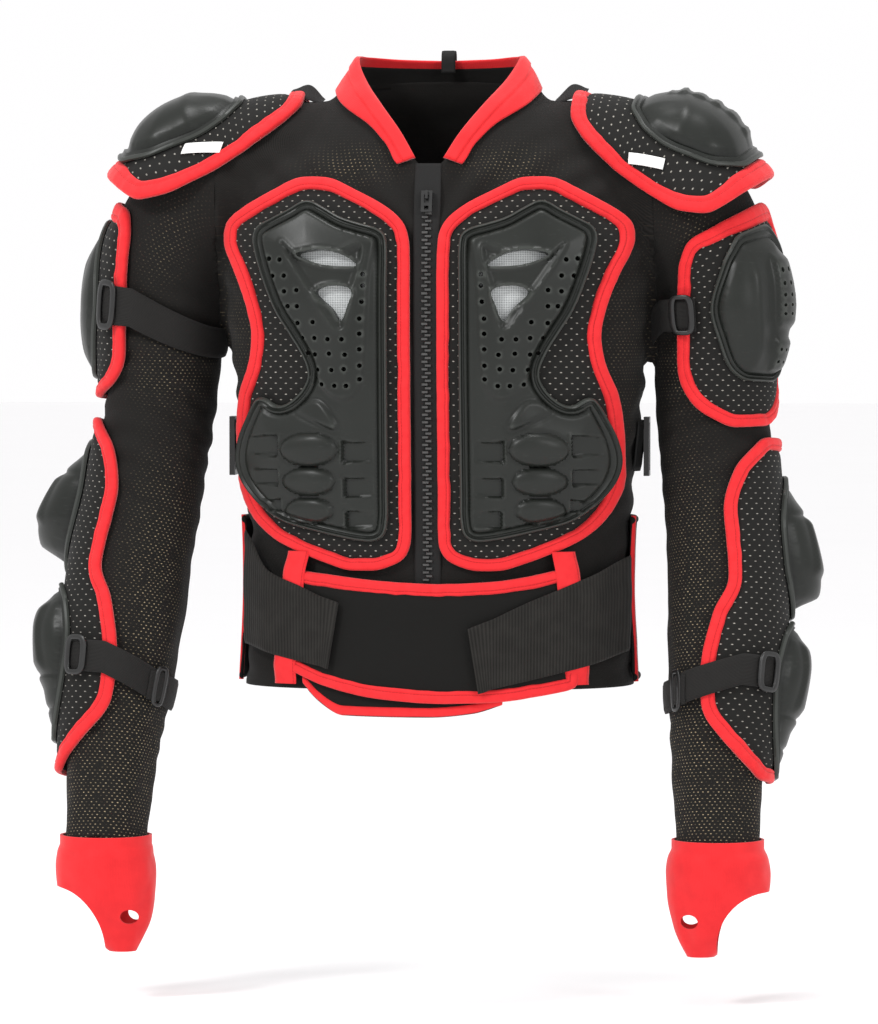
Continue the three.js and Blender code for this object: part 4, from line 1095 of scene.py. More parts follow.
# Louvers: open end across, closed end across, top and bottom down
LOUVERS = [
    (0.85, 0.661, 0.676, 0.739), (0.83, 0.661, 0.775, 0.827), (0.78, 0.652, 0.869, 0.909),
    (0.085, 0.272, 0.695, 0.76), (0.078, 0.262, 0.802, 0.864), (0.07, 0.255, 0.905, 0.957),
]
VENT_RADIUS = 2.1
# The double rim of a plate: where each step begins and ends in from the edge, and its rise in mm
PLATE_RIM = [(-0.5, 1.6, 2.6), (2.2, 3.4, -1.7), (4.2, 5.2, 1.7), (6.4, 7.8, -2.5)]
CAP_RIM = [(-0.5, 1.5, 2.0), (2.2, 3.3, -1.5), (4.0, 5.0, 1.5), (5.6, 6.8, -1.8)]
# Where the rings of points lie in from the edge
RIM_RINGS = (1.1, 2.2, 3.3, 4.4, 5.5, 6.8, 8.2)
PAD_RINGS = (3.5, 7)
SHARP_TURN = 42
LEAST_HEIGHT = 0.8


def loop_of(rows, spacing, rounding, flat):
    """A smooth closed outline down the far edge of a table and back up its near edge."""
    rows = np.array(rows, float)
    down = np.linspace(rows[0, 0], rows[-1, 0], 240)
    near = steady(rows[:, 0], rows[:, 1], down)
    far = steady(rows[:, 0], rows[:, 2], down)
    return resample(flat(np.vstack([xyz(far, down), xyz(near, down)[::-1]])), spacing, rounding)


def circle(centre, radius, count=12):
    turn = np.linspace(0, 2 * np.pi, count, endpoint=False)
    return np.asarray(centre) + radius * xyz(np.cos(turn), np.sin(turn))


def rim_height(steps, edge):
    return sum((rise * smooth(low, high, edge) for low, high, rise in steps), 2.0)


def puff(crown, rise, reach, cells, seeds):
    """The height of a padded panel: a low edge, a crown in the middle and a cover that puckers."""
    def height(u, v, edge):
        return crown + rise * smooth(*reach, edge) + 0.5 * flat_noise(u, v, cells, seeds[0]) \
            + 0.35 * flat_noise(u, v, 9, seeds[1]) * (1 - smooth(8, 20, edge))

    return height


def plate_height(shapes):
    def height(u, v, edge):
        at = xyz(u, v)
        across, down = u / PLATE_WIDTH, v / PLATE_HEIGHT
        crown = np.maximum(0, 1 - ((across - 0.42) / 0.6) ** 2 - ((down - 0.45) / 0.62) ** 2)
        inner = smooth(7.5, 11.5, edge)
        top = rim_height(PLATE_RIM, edge)
        top += inner * 3.0 + crown * 6.0 * smooth(7.5, 40, edge)
        tongue = inside(at, shapes["tongue"])
        top += inner * 3.0 * smooth(-1.5, 4.5, tongue)
        valley = inside(at, shapes["valley"])
        top -= 3.9 * smooth(-0.6, 5.5, valley)
        top += 0.9 * ridge(valley + 1.2, 1.5)
        for window in ("crescent", "fan"):
            gap = inside(at, shapes[window])
            top += 1.5 * ridge(gap + 1.6, 1.4)
        spur = inside(at, shapes["spur"])
        lead = np.clip((0.58 - across) / 0.28, 0, 1)
        top += inner * (0.6 + 3.0 * lead) * smooth(-0.6, 3.4, spur)
        top -= inner * 0.8 * ridge(spur + 1.8, 1.6)
        for centre_u, centre_v, wide, tall in OVALS:
            away = np.hypot((across - centre_u) / wide * 2, (down - centre_v) / tall * 2)
            top += 6.4 * np.sqrt(np.maximum(0, 1 - np.minimum(away, 1) ** 2.2))
            top -= 0.7 * ridge(away - 1.07, 0.06)
        for open_end, closed, high, low in LOUVERS:
            run = (across - open_end) / (closed - open_end)
            mid, half = (high + low) / 2 * PLATE_HEIGHT, (low - high) / 2 * PLATE_HEIGHT
            flare = half * (0.82 + 0.18 * np.clip(run, 0, 1))
            walls = flare - np.abs(v - mid)
            reach = np.minimum(walls, (1 - run) * abs(closed - open_end) * PLATE_WIDTH)
            within = (run > 0) & (run < 1.001)
            top -= np.where(within, (1.2 + 3.2 * np.clip(run, 0, 1) ** 1.3) * smooth(-0.3, 1.0, reach)
                            * smooth(0, 0.15, run), 0)
            lip = (run - 1.0) * abs(closed - open_end) * PLATE_WIDTH
            top += 1.1 * ridge(lip - 1.3, 1.1) * smooth(-1.5, 0.5, walls + 1)
        return np.maximum(top, LEAST_HEIGHT)

    return height


def chest_panel(hand):
    side = SIDE[hand]

    def panel_flat(edge):
        return edge * [PANEL_WIDTH, PANEL_HEIGHT] + [PANEL_INSET[hand], PANEL_DOWN]

    def on_chest(base):
        return lambda u, v, h: chest_skin(side * u, -v, base + h)

    outline = loop_of(CHEST_PANEL, 2.2, 14, panel_flat)
    trim = binding(f"chest_binding_{hand}", outline, TRIM_WIDTH + 0.6, SEAT - 0.5,
                   PAD + TRIM_PROUD + 0.6, on_chest(0), LOOK["red"], 3 if side < 0 else 4)
    settle(trim, "red_binding", f"chest_trim_{hand}")

    inner = resample(inset(outline, 4.5, 4), 4.0)

    pad = patch(f"chest_padding_{hand}", inner, on_chest(SEAT - 0.6),
                puff(1.6, PAD - 1.6, (2, 16), 30, (41, 42)), LOOK["pad"], 3.6, rings=PAD_RINGS)
    swell(pad, outline_keep=3.0, cap=1.6)
    settle(pad, "padding", f"chest_pad_{hand}")

    def plate_flat(points):
        return np.asarray(points) * [PLATE_WIDTH, PLATE_HEIGHT]

    shapes = {name: closed_curve(plate_flat(corners), spacing, rounding)
              for name, corners, spacing, rounding in PLATE_RELIEF}
    holes = [circle(plate_flat(vent), VENT_RADIUS) for vent in VENTS]
    holes += [shapes["crescent"], shapes["fan"]]
    outline = closed_curve(plate_flat([(across - 0.28 * max(0, across - 0.8), down)
                                       for across, down in PLATE_OUTLINE]), 1.7, 2)

    def on_pad(u, v, h):
        return chest_skin(side * (PLATE_INSET[hand] + u), -(PLATE_DOWN + v), h)

    def plate_place(u, v, h):
        return on_pad(u, v, PLATE_LIFT + 9 * np.maximum(0, u / PLATE_WIDTH - 0.5) - 2.2 + h)

    plate = patch(f"chest_armor_{hand}", outline, plate_place, plate_height(shapes), LOOK["plastic"],
                  1.7, holes=holes, rings=RIM_RINGS)
    crisp(plate, SHARP_TURN)
    settle(plate, "hard_plastic", f"chest_plate_{hand}")

    mesh = patch(f"window_mesh_{hand}", closed_curve(plate_flat(WINDOW_MESH), 4, 1),
                 lambda u, v, h: on_pad(u, v, SEAT + PAD + 1.6 + h),
                 lambda u, v, edge: 0.7 + 0 * u, LOOK["silver"], 3.0)
    settle(mesh, "silver_mesh", f"chest_mesh_{hand}")


def swell(obj, outline_keep, cap, frames=16, pressure=3.5):
    """Puffs a pad with Cloth under pressure, held along its rim."""
    start = get_points(obj)
    work = bmesh.new()
    work.from_mesh(obj.data)
    rim = {v.index for e in work.edges if e.is_boundary or e.calc_face_angle(0) > 0.9 for v in e.verts}
    work.free()
    tree = KDTree(len(rim))
    for n, i in enumerate(rim):
        tree.insert(start[i], n)
    tree.balance()
    pin = obj.vertex_groups.new(name="pin")
    for i, p in enumerate(start):
        away = tree.find(p)[2]
        weight = 1 - smooth(outline_keep, outline_keep + 5, away)
        if weight > 0.01:
            pin.add([i], float(weight), "REPLACE")
    cloth = modify(obj, "CLOTH")
    settings = {"quality": 5, "mass": 0.2, "use_pressure": True, "uniform_pressure_force": pressure,
                "tension_stiffness": 12, "compression_stiffness": 12, "bending_stiffness": 0.4,
                "vertex_group_mass": "pin"}
    for key, value in settings.items():
        setattr(cloth.settings, key, value)
    cloth.settings.effector_weights.gravity = 0
    cloth.collision_settings.use_collision = False
    cloth.point_cache.frame_start = 1
    cloth.point_cache.frame_end = frames
    scene = bpy.context.scene
    for step in range(1, frames + 1):
        scene.frame_set(step)
        bpy.context.view_layer.update()
    apply(obj)
    scene.frame_set(1)
    move = get_points(obj) - start
    size = np.linalg.norm(move, axis=1, keepdims=True)
    move *= np.minimum(1, cap / np.maximum(size, 1e-6))
    set_points(obj, start + move)
    obj.vertex_groups.clear()
    round_off(obj)


for hand in SIDE:
    chest_panel(hand)

# Arm pads and caps

CAP_LIFT = SEAT + PAD + CAP_GAP
# The outer edge of a shoulder pad stands off the sleeve
SHOULDER_FLARE = 20.0

# Places along the arm and half widths in mm; a shape's rows are shares of its own length and half.
ARM_PIECES = {
    "shoulder": {
        "from": 22, "length": 128, "half": 78,
        "twist": {"left": 0.0, "right": 0.3},
        "shape": [(0, 0.44), (0.12, 0.78), (0.35, 1.08), (0.6, 1.18), (0.82, 1.12), (1, 0.86)],
        "caps": ["shoulder_cap"],
    },
    "upper_arm": {
        "from": 159, "length": {"left": 156, "right": 180}, "half": 73,
        "twist": {"left": -0.14, "right": 0.85},
        "shape": [(0, 0.75), (0.12, 0.95), (0.4, 1), (0.7, 0.95), (0.88, 0.72), (1, 0.3)],
        "caps": ["upper_arm_cap"],
    },
    "forearm": {
        "from": {"left": 335, "right": 350}, "length": {"left": 327, "right": 312}, "half": 90,
        "twist": {"left": -0.12, "right": 0.15},
        "shape": [(0, 0.3), (0.09, 0.66), (0.22, 0.8), (0.42, 0.78), (0.52, 0.93), (0.66, 1),
                  (0.8, 0.93), (0.91, 0.62), (1, 0.22)],
        "caps": ["elbow_cap", "forearm_cap"],
    },
}
# A cap is highest at the share "crown" of its length and loses the share "fall" of its rise toward its
# ends, as the power "bow" of the way there. Its relief rises in mm, at shares of its length and half:
# steps hold rise, begin and end along; blocks hold rise, slope of the sides, low and high across, low and
# high along; grooves hold depth, place along and width in mm.
CAPS = {
    "shoulder_cap": {
        "from": 62, "length": 76, "half": 52,
        "rise": 20, "crown": 0.5, "fall": 0.45, "bow": 2.2,
        "twist": {"left": 0.05, "right": 0.25},
        "shape": [(0, 0.45), (0.2, 0.85), (0.5, 1), (0.8, 0.9), (1, 0.5)],
    },
    "upper_arm_cap": {
        "from": 172, "length": 122, "half": 48,
        "rise": 14, "crown": 0.5, "fall": 0.45, "bow": 2.2,
        "twist": {"left": -0.35, "right": 0.75},
        "shape": [(0, 0.4), (0.12, 0.75), (0.45, 1), (0.75, 0.8), (0.92, 0.6), (1, 0.35)],
        "blocks": [(4.4, 0.06, -0.62, -0.12, 0.18, 0.56), (3.4, 0.05, -0.52, -0.10, 0.70, 0.88)],
    },
    "elbow_cap": {
        "from": {"left": 355, "right": 384}, "length": 126, "half": 44,
        "rise": {"left": 47, "right": 33}, "crown": 0.84, "fall": 0.80, "bow": 1.15,
        "twist": {"left": -0.5, "right": -0.4},
        "shape": [(0, 0.4), (0.15, 0.8), (0.4, 1), (0.65, 0.95), (0.85, 0.7), (1, 0.35)],
        "steps": [(-3.0, 0.84, 0.90), (-3.0, 0.30, 0.16)],
        "blocks": [(3.2, 0.07, -0.46, 0.46, 0.36, 0.66)],
        "grooves": [(2.4, 0.29, 2.6)],
    },
    "forearm_cap": {
        "from": {"left": 490, "right": 513}, "length": 145, "half": 43,
        "rise": {"left": 21, "right": 18}, "crown": 0.30, "fall": 0.74, "bow": 1.7,
        "twist": {"left": -0.1, "right": -0.25},
        "shape": [(0, 0.45), (0.12, 0.85), (0.35, 1), (0.6, 0.85), (0.82, 0.6), (1, 0.3)],
        "steps": [(-3.5, 0.60, 0.70)],
        "blocks": [(3.2, 0.07, -0.44, 0.44, 0.18, 0.52)],
        "grooves": [(2.4, 0.60, 2.4), (2.0, 0.80, 2.4)],
    },
}


def on_sleeve(hand, start, twist, base):
    sleeve = SLEEVES[hand]

    def place(u, v, h):
        distance = start + v
        flare = SHOULDER_FLARE * smooth(88, 152, distance) * (distance < 158)
        return sleeve.level(distance, twist + u / sleeve.radius(distance), base + flare + h)

    return place


def leaf_loop(shape, length, half, spacing, rounding):
    rows = [(along, -share, share) for along, share in shape]
    return loop_of(rows, spacing, rounding, lambda e: e * [half, length])


def raised_block(across, along, box, slope=0.09):
    """1 inside a box of shares (low across, high across, low along, high along), 0 outside."""
    return (smooth(box[0] - slope, box[0], across) * (1 - smooth(box[1], box[1] + slope, across))
            * smooth(box[2] - slope, box[2], along) * (1 - smooth(box[3], box[3] + slope, along)))


def cap_height(name, hand):
    cap = sized(CAPS[name], hand)
    crown = cap["crown"]

    def height(u, v, edge):
        across, along = u / cap["half"], v / cap["length"]
        end = np.where(along > crown, (along - crown) / (1 - crown), (crown - along) / crown)
        lane = smooth(6.8, 9.5, edge)
        top = rim_height(CAP_RIM, edge)
        wall = np.clip((edge - 6.8) / (cap["half"] * 0.62), 0, 1)
        dome = (1 - (1 - wall) ** 2.4) * (1 - cap["fall"] * np.clip(end, 0, 1) ** cap["bow"])
        top += lane * (cap["rise"] - 3.0) * dome + lane * 1.4
        if name == "shoulder_cap":
            top += lane * 1.8 * (smooth(-0.08, 0.10, along - 0.34 - 0.10 * across)
                                 - smooth(0.0, 0.16, along - 0.74))
            top += lane * 1.3 * ridge((along - 0.40 - 0.10 * across) * cap["length"], 3.0)
            if hand == "right":
                strip = raised_block(across, along, (-0.42, -0.02, 0.30, 0.92), 0.06)
                ribs = 0.5 + 0.5 * np.sin(along * cap["length"] * 2 * np.pi / 8.5)
                top += lane * strip * (0.8 + 1.9 * smooth(0.25, 0.75, ribs))
        elif name == "upper_arm_cap":
            top += lane * 2.0 * ridge((across - 0.30 + 0.10 * along) * cap["half"], 4.0) \
                * smooth(0.1, 0.25, along) * (1 - smooth(0.75, 0.95, along))
            top -= lane * 1.6 * ridge((across - 0.02) * cap["half"], 4.5) \
                * smooth(0.12, 0.2, along) * (1 - smooth(0.7, 0.9, along))
        for rise, low, high in cap.get("steps", ()):
            top += lane * rise * smooth(low, high, along)
        for rise, slope, *box in cap.get("blocks", ()):
            top += lane * rise * raised_block(across, along, box, slope)
        for depth, place, width in cap.get("grooves", ()):
            top -= lane * depth * ridge((along - place) * cap["length"], width)
        return np.maximum(top, LEAST_HEIGHT)

    return height


def cap_holes(name, length, half):
    """Rows of round holes in the raised blocks of the upper arm cap."""
    if name != "upper_arm_cap":
        return []
    found = []
    for across in np.linspace(-0.55, -0.19, 3):
        found += [circle((across * half, along * length), 1.7) for along in np.linspace(0.22, 0.52, 5)]
    for across in np.linspace(-0.46, -0.16, 3):
        found += [circle((across * half, along * length), 1.5) for along in (0.745, 0.835)]
    return found


def arm_pieces(hand):
    for number, (name, piece) in enumerate(ARM_PIECES.items()):
        piece = sized(piece, hand)
        start, twist = piece["from"], piece["twist"]
        place = on_sleeve(hand, start, twist, 0)
        outline = leaf_loop(piece["shape"], piece["length"], piece["half"], 2.2, 12)
        trim = binding(f"{name}_binding_{hand}", outline, TRIM_WIDTH + 1.6, SEAT - 0.6,
                       PAD + TRIM_PROUD + 0.8, place, LOOK["red"], 11 + number)
        settle(trim, "red_binding", f"{name}_trim_{hand}")
        inner = resample(inset(outline, 4.5, 4), 4.0)
        pad = patch(f"{name}_padding_{hand}", inner, on_sleeve(hand, start, twist, SEAT - 0.8),
                    puff(1.6, PAD - 1.2, (1, 14), 26, (51 + number, 61 + number)), LOOK["pad"], 3.8,
                    rings=PAD_RINGS)
        swell(pad, outline_keep=3.0, cap=1.2)
        settle(pad, "padding", f"{name}_pad_{hand}")
        for cap_name in piece["caps"]:
            cap = sized(CAPS[cap_name], hand)
            line = leaf_loop(cap["shape"], cap["length"], cap["half"], 1.9, 8)
            armor = patch(f"{cap_name}_shell_{hand}", line,
                          on_sleeve(hand, cap["from"], cap["twist"], CAP_LIFT - 1.0),
                          cap_height(cap_name, hand), LOOK["plastic"], 1.9,
                          holes=cap_holes(cap_name, cap["length"], cap["half"]),
                          rings=RIM_RINGS)
            crisp(armor, SHARP_TURN)
            settle(armor, "hard_plastic", f"{cap_name}_{hand}")


for hand in SIDE:
    arm_pieces(hand)

# Arm straps

ARM_STRAPS = {
    "upper_arm": {
        "at": {"left": 228, "right": 232}, "dip": 27, "width": 33, "hug": {"left": 1.0, "right": 2.2},
        "from": {"left": 0.66, "right": 1.76}, "to": {"left": 4.9, "right": 5.98},
        "ring": (21, 41, 5), "keeper": None,
    },
    "forearm": {
        "at": {"left": 560, "right": 566}, "dip": 22, "width": 29, "hug": {"left": 1.7, "right": 1.9},
        "from": {"left": 0.78, "right": 0.62}, "to": {"left": 5.2, "right": 5.0},
        "ring": (20, 37, 5), "keeper": {"left": 2.45, "right": 2.35},
    },
}
STRAP_LIFT = SEAT + PAD + TRIM_PROUD + 1.8


def swept(value, power):
    """A sine or cosine with its round turns drawn out toward a square."""
    return np.sign(value) * np.abs(value) ** power


def rounded_frame(wide, tall, power=0.56):
    """The points of a rounded rectangle."""
    turn = np.linspace(0, 2 * np.pi, 40, endpoint=False)
    return xyz(swept(np.cos(turn), power) * wide / 2, swept(np.sin(turn), power) * tall / 2)


def loop_ring(name, wide, tall, bar, thick, place, material):
    """A moulded ring with a rounded section, laid by place(u, v, h)."""
    line = resample(rounded_frame(wide, tall), 1.6)
    turn = np.linspace(0, 2 * np.pi, 12, endpoint=False)
    rows = []
    for a in turn:
        across = bar / 2 - bar / 2 * swept(np.cos(a), 0.6)
        lift = thick / 2 + thick / 2 * swept(np.sin(a), 0.6)
        ring = inset(line, across, 1) if across > 0 else line
        rows.append(place(ring[:, 0], ring[:, 1], lift))
    faces = grid_faces(len(line), len(turn), True)
    return make(name, np.stack(rows, axis=1).reshape(-1, 3), faces, material)


def arm_straps(hand):
    sleeve = SLEEVES[hand]
    for name, strap in ARM_STRAPS.items():
        strap, piece = sized(strap, hand), sized(ARM_PIECES[name], hand)
        start, end, at, twist = strap["from"], strap["to"], strap["at"], piece["twist"]
        middle = (start + end) / 2
        pad_edge = min(strap["hug"], piece["half"] / sleeve.radius(at) + twist)

        def distance(angle):
            return at + strap["dip"] * np.cos(np.minimum(np.abs(angle - middle), np.pi / 2))

        def lift(angle):
            past = np.minimum(angle - pad_edge, 2 * np.pi + 2 * twist - pad_edge - angle) - 0.1
            return STRAP_LIFT - (STRAP_LIFT - SEAT) * smooth(-0.05, 0.62, past)

        def place(along, across, up):
            angle = start + along * (end - start)
            wave = flat_noise(angle * 40, across * 30, 16, 71)
            return sleeve.level(distance(angle) + across * strap["width"], angle,
                                lift(angle) + up * ELASTIC + 0.5 * wave * arch(across))

        length = (end - start) * (sleeve.radius(at) + 6)
        band = strip(f"{name}_elastic_{hand}", 110, 9, place, LOOK["elastic"], (length, strap["width"]))
        settle(band, "elastic", f"{name}_strap_{hand}")
        wide, tall, bar = strap["ring"]
        centre = start + wide / 2 / sleeve.radius(at)
        base = STRAP_LIFT + ELASTIC + GAP + 0.4
        ring = loop_ring(f"{name}_loop_{hand}", wide, tall, bar, 3.5,
                         lambda u, v, h: sleeve.level(distance(centre) - v,
                                                      centre + u / sleeve.radius(at), base + h),
                         LOOK["gloss"])
        settle(ring, "black_plastic", f"{name}_ring_{hand}")
        if strap["keeper"]:
            turn = strap["keeper"]

            def bar_place(u, v, h):
                angle = turn + u / sleeve.radius(at)
                return sleeve.level(distance(turn) - v, angle, lift(angle) + ELASTIC + 0.1 + h)

            keeper = loop_ring(f"{name}_keeper_{hand}", 15, 38, 4.2, 3.0, bar_place, LOOK["gloss"])
            settle(keeper, "black_plastic")
            width = strap["width"] - 2

            def tail_place(along, across, up):
                angle = turn + (0.5 - along) * 0.42
                hump = 1.6 * bump(along, 0.5, 0.22)
                return sleeve.level(distance(turn) + across * width, angle - 0.02,
                                    lift(angle) + ELASTIC + 0.2 + up * 1.5 + hump)

            tail = strip(f"{name}_strap_end_{hand}", 16, 7, tail_place, LOOK["elastic"], (22, width))
            settle(tail, "elastic")


for hand in SIDE:
    arm_straps(hand)

# Shoulders: tags and straps

# Middle of a tag (across and along the pad) and its turn on the pad
TAG_PLACE = {"left": ((69, 73), 0.55), "right": ((67, 65), 0.25)}


def upward(path, along, across):
    """The way that a ribbon on a path faces, from the way that lies across it."""
    return unit(np.cross(unit(path(along + 1e-3) - path(along - 1e-3)), np.array(across)))


def shoulder_trim(hand):
    sleeve = SLEEVES[hand]
    piece = sized(ARM_PIECES["shoulder"], hand)
    place = on_sleeve(hand, piece["from"], piece["twist"], SEAT + PAD + 0.6)
    middle, turn = TAG_PLACE[hand]

    def tag_place(along, across, up):
        long, wide = (along - 0.5) * 28, across * 10
        return place(middle[0] + wide * math.cos(turn) - long * math.sin(turn),
                     middle[1] + long * math.cos(turn) + wide * math.sin(turn),
                     up * 0.6 + 0.9 * (along - 0.3) ** 2 + 0.5)

    tag = strip(f"blank_tag_{hand}", 12, 6, tag_place, LOOK["tag"], (28, 10), edge=0.2)
    settle(tag, "white_tag", f"shoulder_label_{hand}")
    outer = sleeve.level(piece["from"] + TRIM_WIDTH, 0.0, SEAT + PAD + TRIM_PROUD + 3.6 * GAP)
    inner = sleeve.level(4, 0.0, GAP * 2)
    peak = (outer + inner) / 2 + [0, 0, 9]
    path = catmull([inner, peak, outer])

    def web(along, across, up):
        normal = upward(path, along, (0.0, -SIDE[hand], 0.0))
        droop = -(3 + 11 * np.sin(np.pi * along)) * (across + 0.5)
        return path(along) + xyz(0, -across * 26, droop) \
            + normal * (up * WEBBING)[..., None] * np.sign(normal[..., 2:3])

    strap = strip(f"shoulder_webbing_{hand}", 40, 9, web, LOOK["webbing"], (60, 26), edge=0.5)
    settle(strap, "webbing", f"shoulder_strap_{hand}")


for hand in SIDE:
    shoulder_trim(hand)

# Collar and hang loop

collar_half = table([
    [0, 0.1, -0.96, 0.14, 1.26, -0.87], [0.14, 0.23, -0.68, 0.3, 1.11, -0.55],
    [0.28, 0.49, -0.41, 0.52, 0.86, -0.2], [0.42, 1.05, -0.14, 0.71, 0.48, 0.1],
    [0.56, 1.57, -0.03, 0.82, 0.05, 0.38], [0.72, 2.1, 0, 0.75, -0.34, 0.41],
    [0.86, 2.62, 0.03, 0.46, -0.60, 0.39], [1.00, np.pi, 0.05, 0.00, -0.70, 0.37],
])


def collar():
    def place(along, across, up):
        turn = 1 - np.abs(along - 0.5) * 2
        side = np.where(along < 0.5, -1.0, 1.0)
        angle, low_z, out, fore, top = np.moveaxis(collar_half(turn), -1, 0)
        low = body_skin(side * np.minimum(angle, np.pi - 1e-3), low_z * NECK_DROP, SEAT - 1.2)
        high = xyz(side * out * NECK_HALF, -fore * NECK_HALF, top * NECK_DROP)
        outward = unit(low * [1, 1, 0] + [0, 0, 40])
        share = (across + 0.5)[..., None]
        body = low + (high - low) * share
        tall = np.linalg.norm(high - low, axis=-1)
        from_top = (0.5 - across) * tall
        fold = 1.5 * smooth(13, 10, from_top) * (up > 0.5)
        roll = smooth(3.5, 0, from_top)
        seam = -0.7 * ridge(from_top - 12.5, 0.9) * (up > 0.5)
        flat = (along * 420, across * tall)
        wave = 1.1 * flat_noise(*flat, (46, 16), 81) + 0.5 * flat_noise(*flat, (17, 9), 82)
        belly = 2.2 * np.sin(np.pi * np.clip(share[..., 0], 0, 1)) * smooth(0, 0.25, turn)
        thick = KNIT * (up - 0.5) * (1 - 0.55 * roll) + KNIT / 2
        return body + outward * (thick + fold + seam + wave + belly)[..., None] \
            + xyz(0, 0, -0.8 * roll * (1 - up))

    obj = strip("collar_knit", 150, 22, place, LOOK["knit"], (430, 52), edge=1.2)
    settle(obj, "red_knit", "collar")

    def lining(along, across, up):
        along = 0.2 + 0.6 * along
        lower = -0.5 + (across + 0.5) * 0.70
        skin, face = place(along, lower, 0 * up), place(along, lower, 0 * up + 1)
        return skin - unit(face - skin) * (0.25 + 0.9 * (1 - up))[..., None]

    inner = strip("collar_lining", 110, 10, lining, LOOK["smooth"], (260, 36), edge=0.4)
    settle(inner, "belt_lining")

    path = catmull([(3, 54, 17), (3, 55, 34), (3, 63, 38), (3, 71, 34), (3, 72, 17)])

    def web(along, across, up):
        normal = upward(path, along, (1.0, 0.0, 0.0))
        return path(along) + xyz(across * 13, 0, 0) + normal * (up * WEBBING)[..., None]

    loop = strip("hang_webbing", 40, 7, web, LOOK["webbing"], (60, 13), edge=0.5)
    settle(loop, "webbing", "hang_loop")


collar()

# Cuffs

CUFF_LENGTH, CUFF_HALF, CUFF_DEPTH = 98.0, 45.0, 41.0
cuff_section = table([
    [0, 0, 0.93, 1.08], [0.07, 0, 1, 1.07], [0.5, 0.02, 1, 0.9],
    [0.75, 0.12, 0.78, 0.66], [1, 0.34, 0.28, 0.32],
])


def cuff(hand):
    side = SIDE[hand]
    sleeve = SLEEVES[hand]
    centre = sleeve.path(np.array(1.0)) - [0, 0, 1]

    def wall(shrink, start=0.0, stop=1.0):
        def place(along, angle):
            down = start + along * (stop - start)
            inward, half, deep = np.moveaxis(cuff_section(np.clip(down, 0, 1)), -1, 0)
            p = xyz(centre[0] - side * inward * CUFF_HALF + np.sin(angle) * (half * CUFF_HALF - shrink),
                    centre[1] + np.cos(angle) * (deep * CUFF_DEPTH - shrink),
                    centre[2] - down * CUFF_LENGTH)
            flow = xyz(np.sin(angle) * 40, np.cos(angle) * 40, down * 98)
            fold = 2.6 * noise(flow, (30, 30, 40), 91 + int(side)) + 1.1 * noise(flow, (12, 12, 22), 92)
            hem = smooth(7, 0, down * CUFF_LENGTH) * 0.3
            out = unit(p - xyz(centre[0], centre[1], p[..., 2]))
            return p + out * (fold * smooth(0, 0.1, down) * smooth(1.0, 0.8, down) + hem)[..., None]

        return place

    outer = make(f"cuff_knit_{hand}", *tube(90, 96, wall(0, -0.09)), LOOK["knit"])
    inner = make("cuff_inner", *tube(90, 96, wall(KNIT * 0.8, -0.15, 1 - 0.9 * KNIT / CUFF_LENGTH)),
                 LOOK["knit"])

    def cutter(name, out, down, wide, tall):
        turn = np.linspace(0, 2 * np.pi, 72, endpoint=False)
        ring = xyz(centre[0] + side * out * CUFF_HALF + wide * np.cos(turn), 0,
                   centre[2] - down * CUFF_LENGTH + tall * np.sin(turn))
        count = len(turn)
        points = np.vstack([ring + [0, centre[1] - 80, 0], ring + [0, centre[1] + 80, 0]])
        faces = [(i, (i + 1) % count, (i + 1) % count + count, i + count) for i in range(count)]
        faces += [list(range(count))[::-1], [i + count for i in range(count)]]
        return make(name, points, faces, LOOK["knit"])

    tools = [inner,
             cutter("hand_cut", 1.02, 0.93, 1.03 * CUFF_HALF, 0.54 * CUFF_LENGTH),
             cutter("thumb_cut", -0.55, 0.66, 8.0, 6.6)]
    for tool in tools:
        modify(outer, "BOOLEAN", operation="DIFFERENCE", solver="EXACT", object=tool)
    apply(outer)
    for tool in tools:
        bpy.data.objects.remove(tool)
    at = get_points(outer)
    angle = np.arctan2(at[:, 0] - centre[0], at[:, 1] - centre[1])
    wrap_uv(outer, angle * CUFF_HALF, at[:, 2], np.full(len(at), 2 * np.pi * CUFF_HALF))
    modify(outer, "BEVEL", width=0.9 * MM, segments=2, limit_method="ANGLE",
           angle_limit=math.radians(50))
    apply(outer)
    round_off(outer)
    crisp(outer, 60)
    settle(outer, "red_knit", f"cuff_{hand}")


for hand in SIDE:
    cuff(hand)

# Kidney belt

BELT_HALF, BELT_DOWN, BELT_HEIGHT = 128.0, 436.0, 116.0
BELT_LAYER, BELT_GAP = 2.4, 1.9
BELT_FRONT = [
    [-1, 0, 0.78], [-0.7, 0.04, 0.92], [-0.31, 0.09, 1.01], [0.08, 0.11, 1.04],
    [0.47, 0.09, 1.03], [0.78, 0.03, 0.98], [1.01, -0.03, 0.93],
]
BELT_INNER = [
    [-0.89, 0.55, 0.9], [-0.78, 0.55, 1.03], [-0.6, 0.55, 1.14], [0, 0.55, 1.15],
    [0.31, 0.55, 1.12], [0.52, 0.55, 1.05],
]
BELT_STRAP = {
    "left": [[-1.31, -0.29, 0.61], [-1.09, 0.02, 0.67], [-0.86, 0.14, 0.73], [-0.64, 0.26, 0.78]],
    "right": [[1.33, -0.09, 0.66], [1.17, 0.00, 0.72], [0.98, 0.10, 0.78], [0.66, 0.26, 0.87],
              [0.31, 0.46, 0.96]],
}
BELT_BACK = {"from": 1.42, "to": 4.82, "top": 391.0, "bottom": 541.0}
# The red bands at the ends of the front panel run from above it to below it
END_BAND = (420.0, 541.0)
BELT_FRONT_LIFT = SEAT + BELT_LAYER + BELT_GAP
BELT_STRAP_LIFT = BELT_FRONT_LIFT + PAD + TRIM_PROUD + BELT_GAP


def belt_level(rows, across, edge):
    rows = np.array(rows, float)
    return BELT_DOWN + BELT_HEIGHT * steady(rows[:, 0], rows[:, 1 + edge], across)


def belly(u, v, h):
    return chest_skin(u, -v, h)


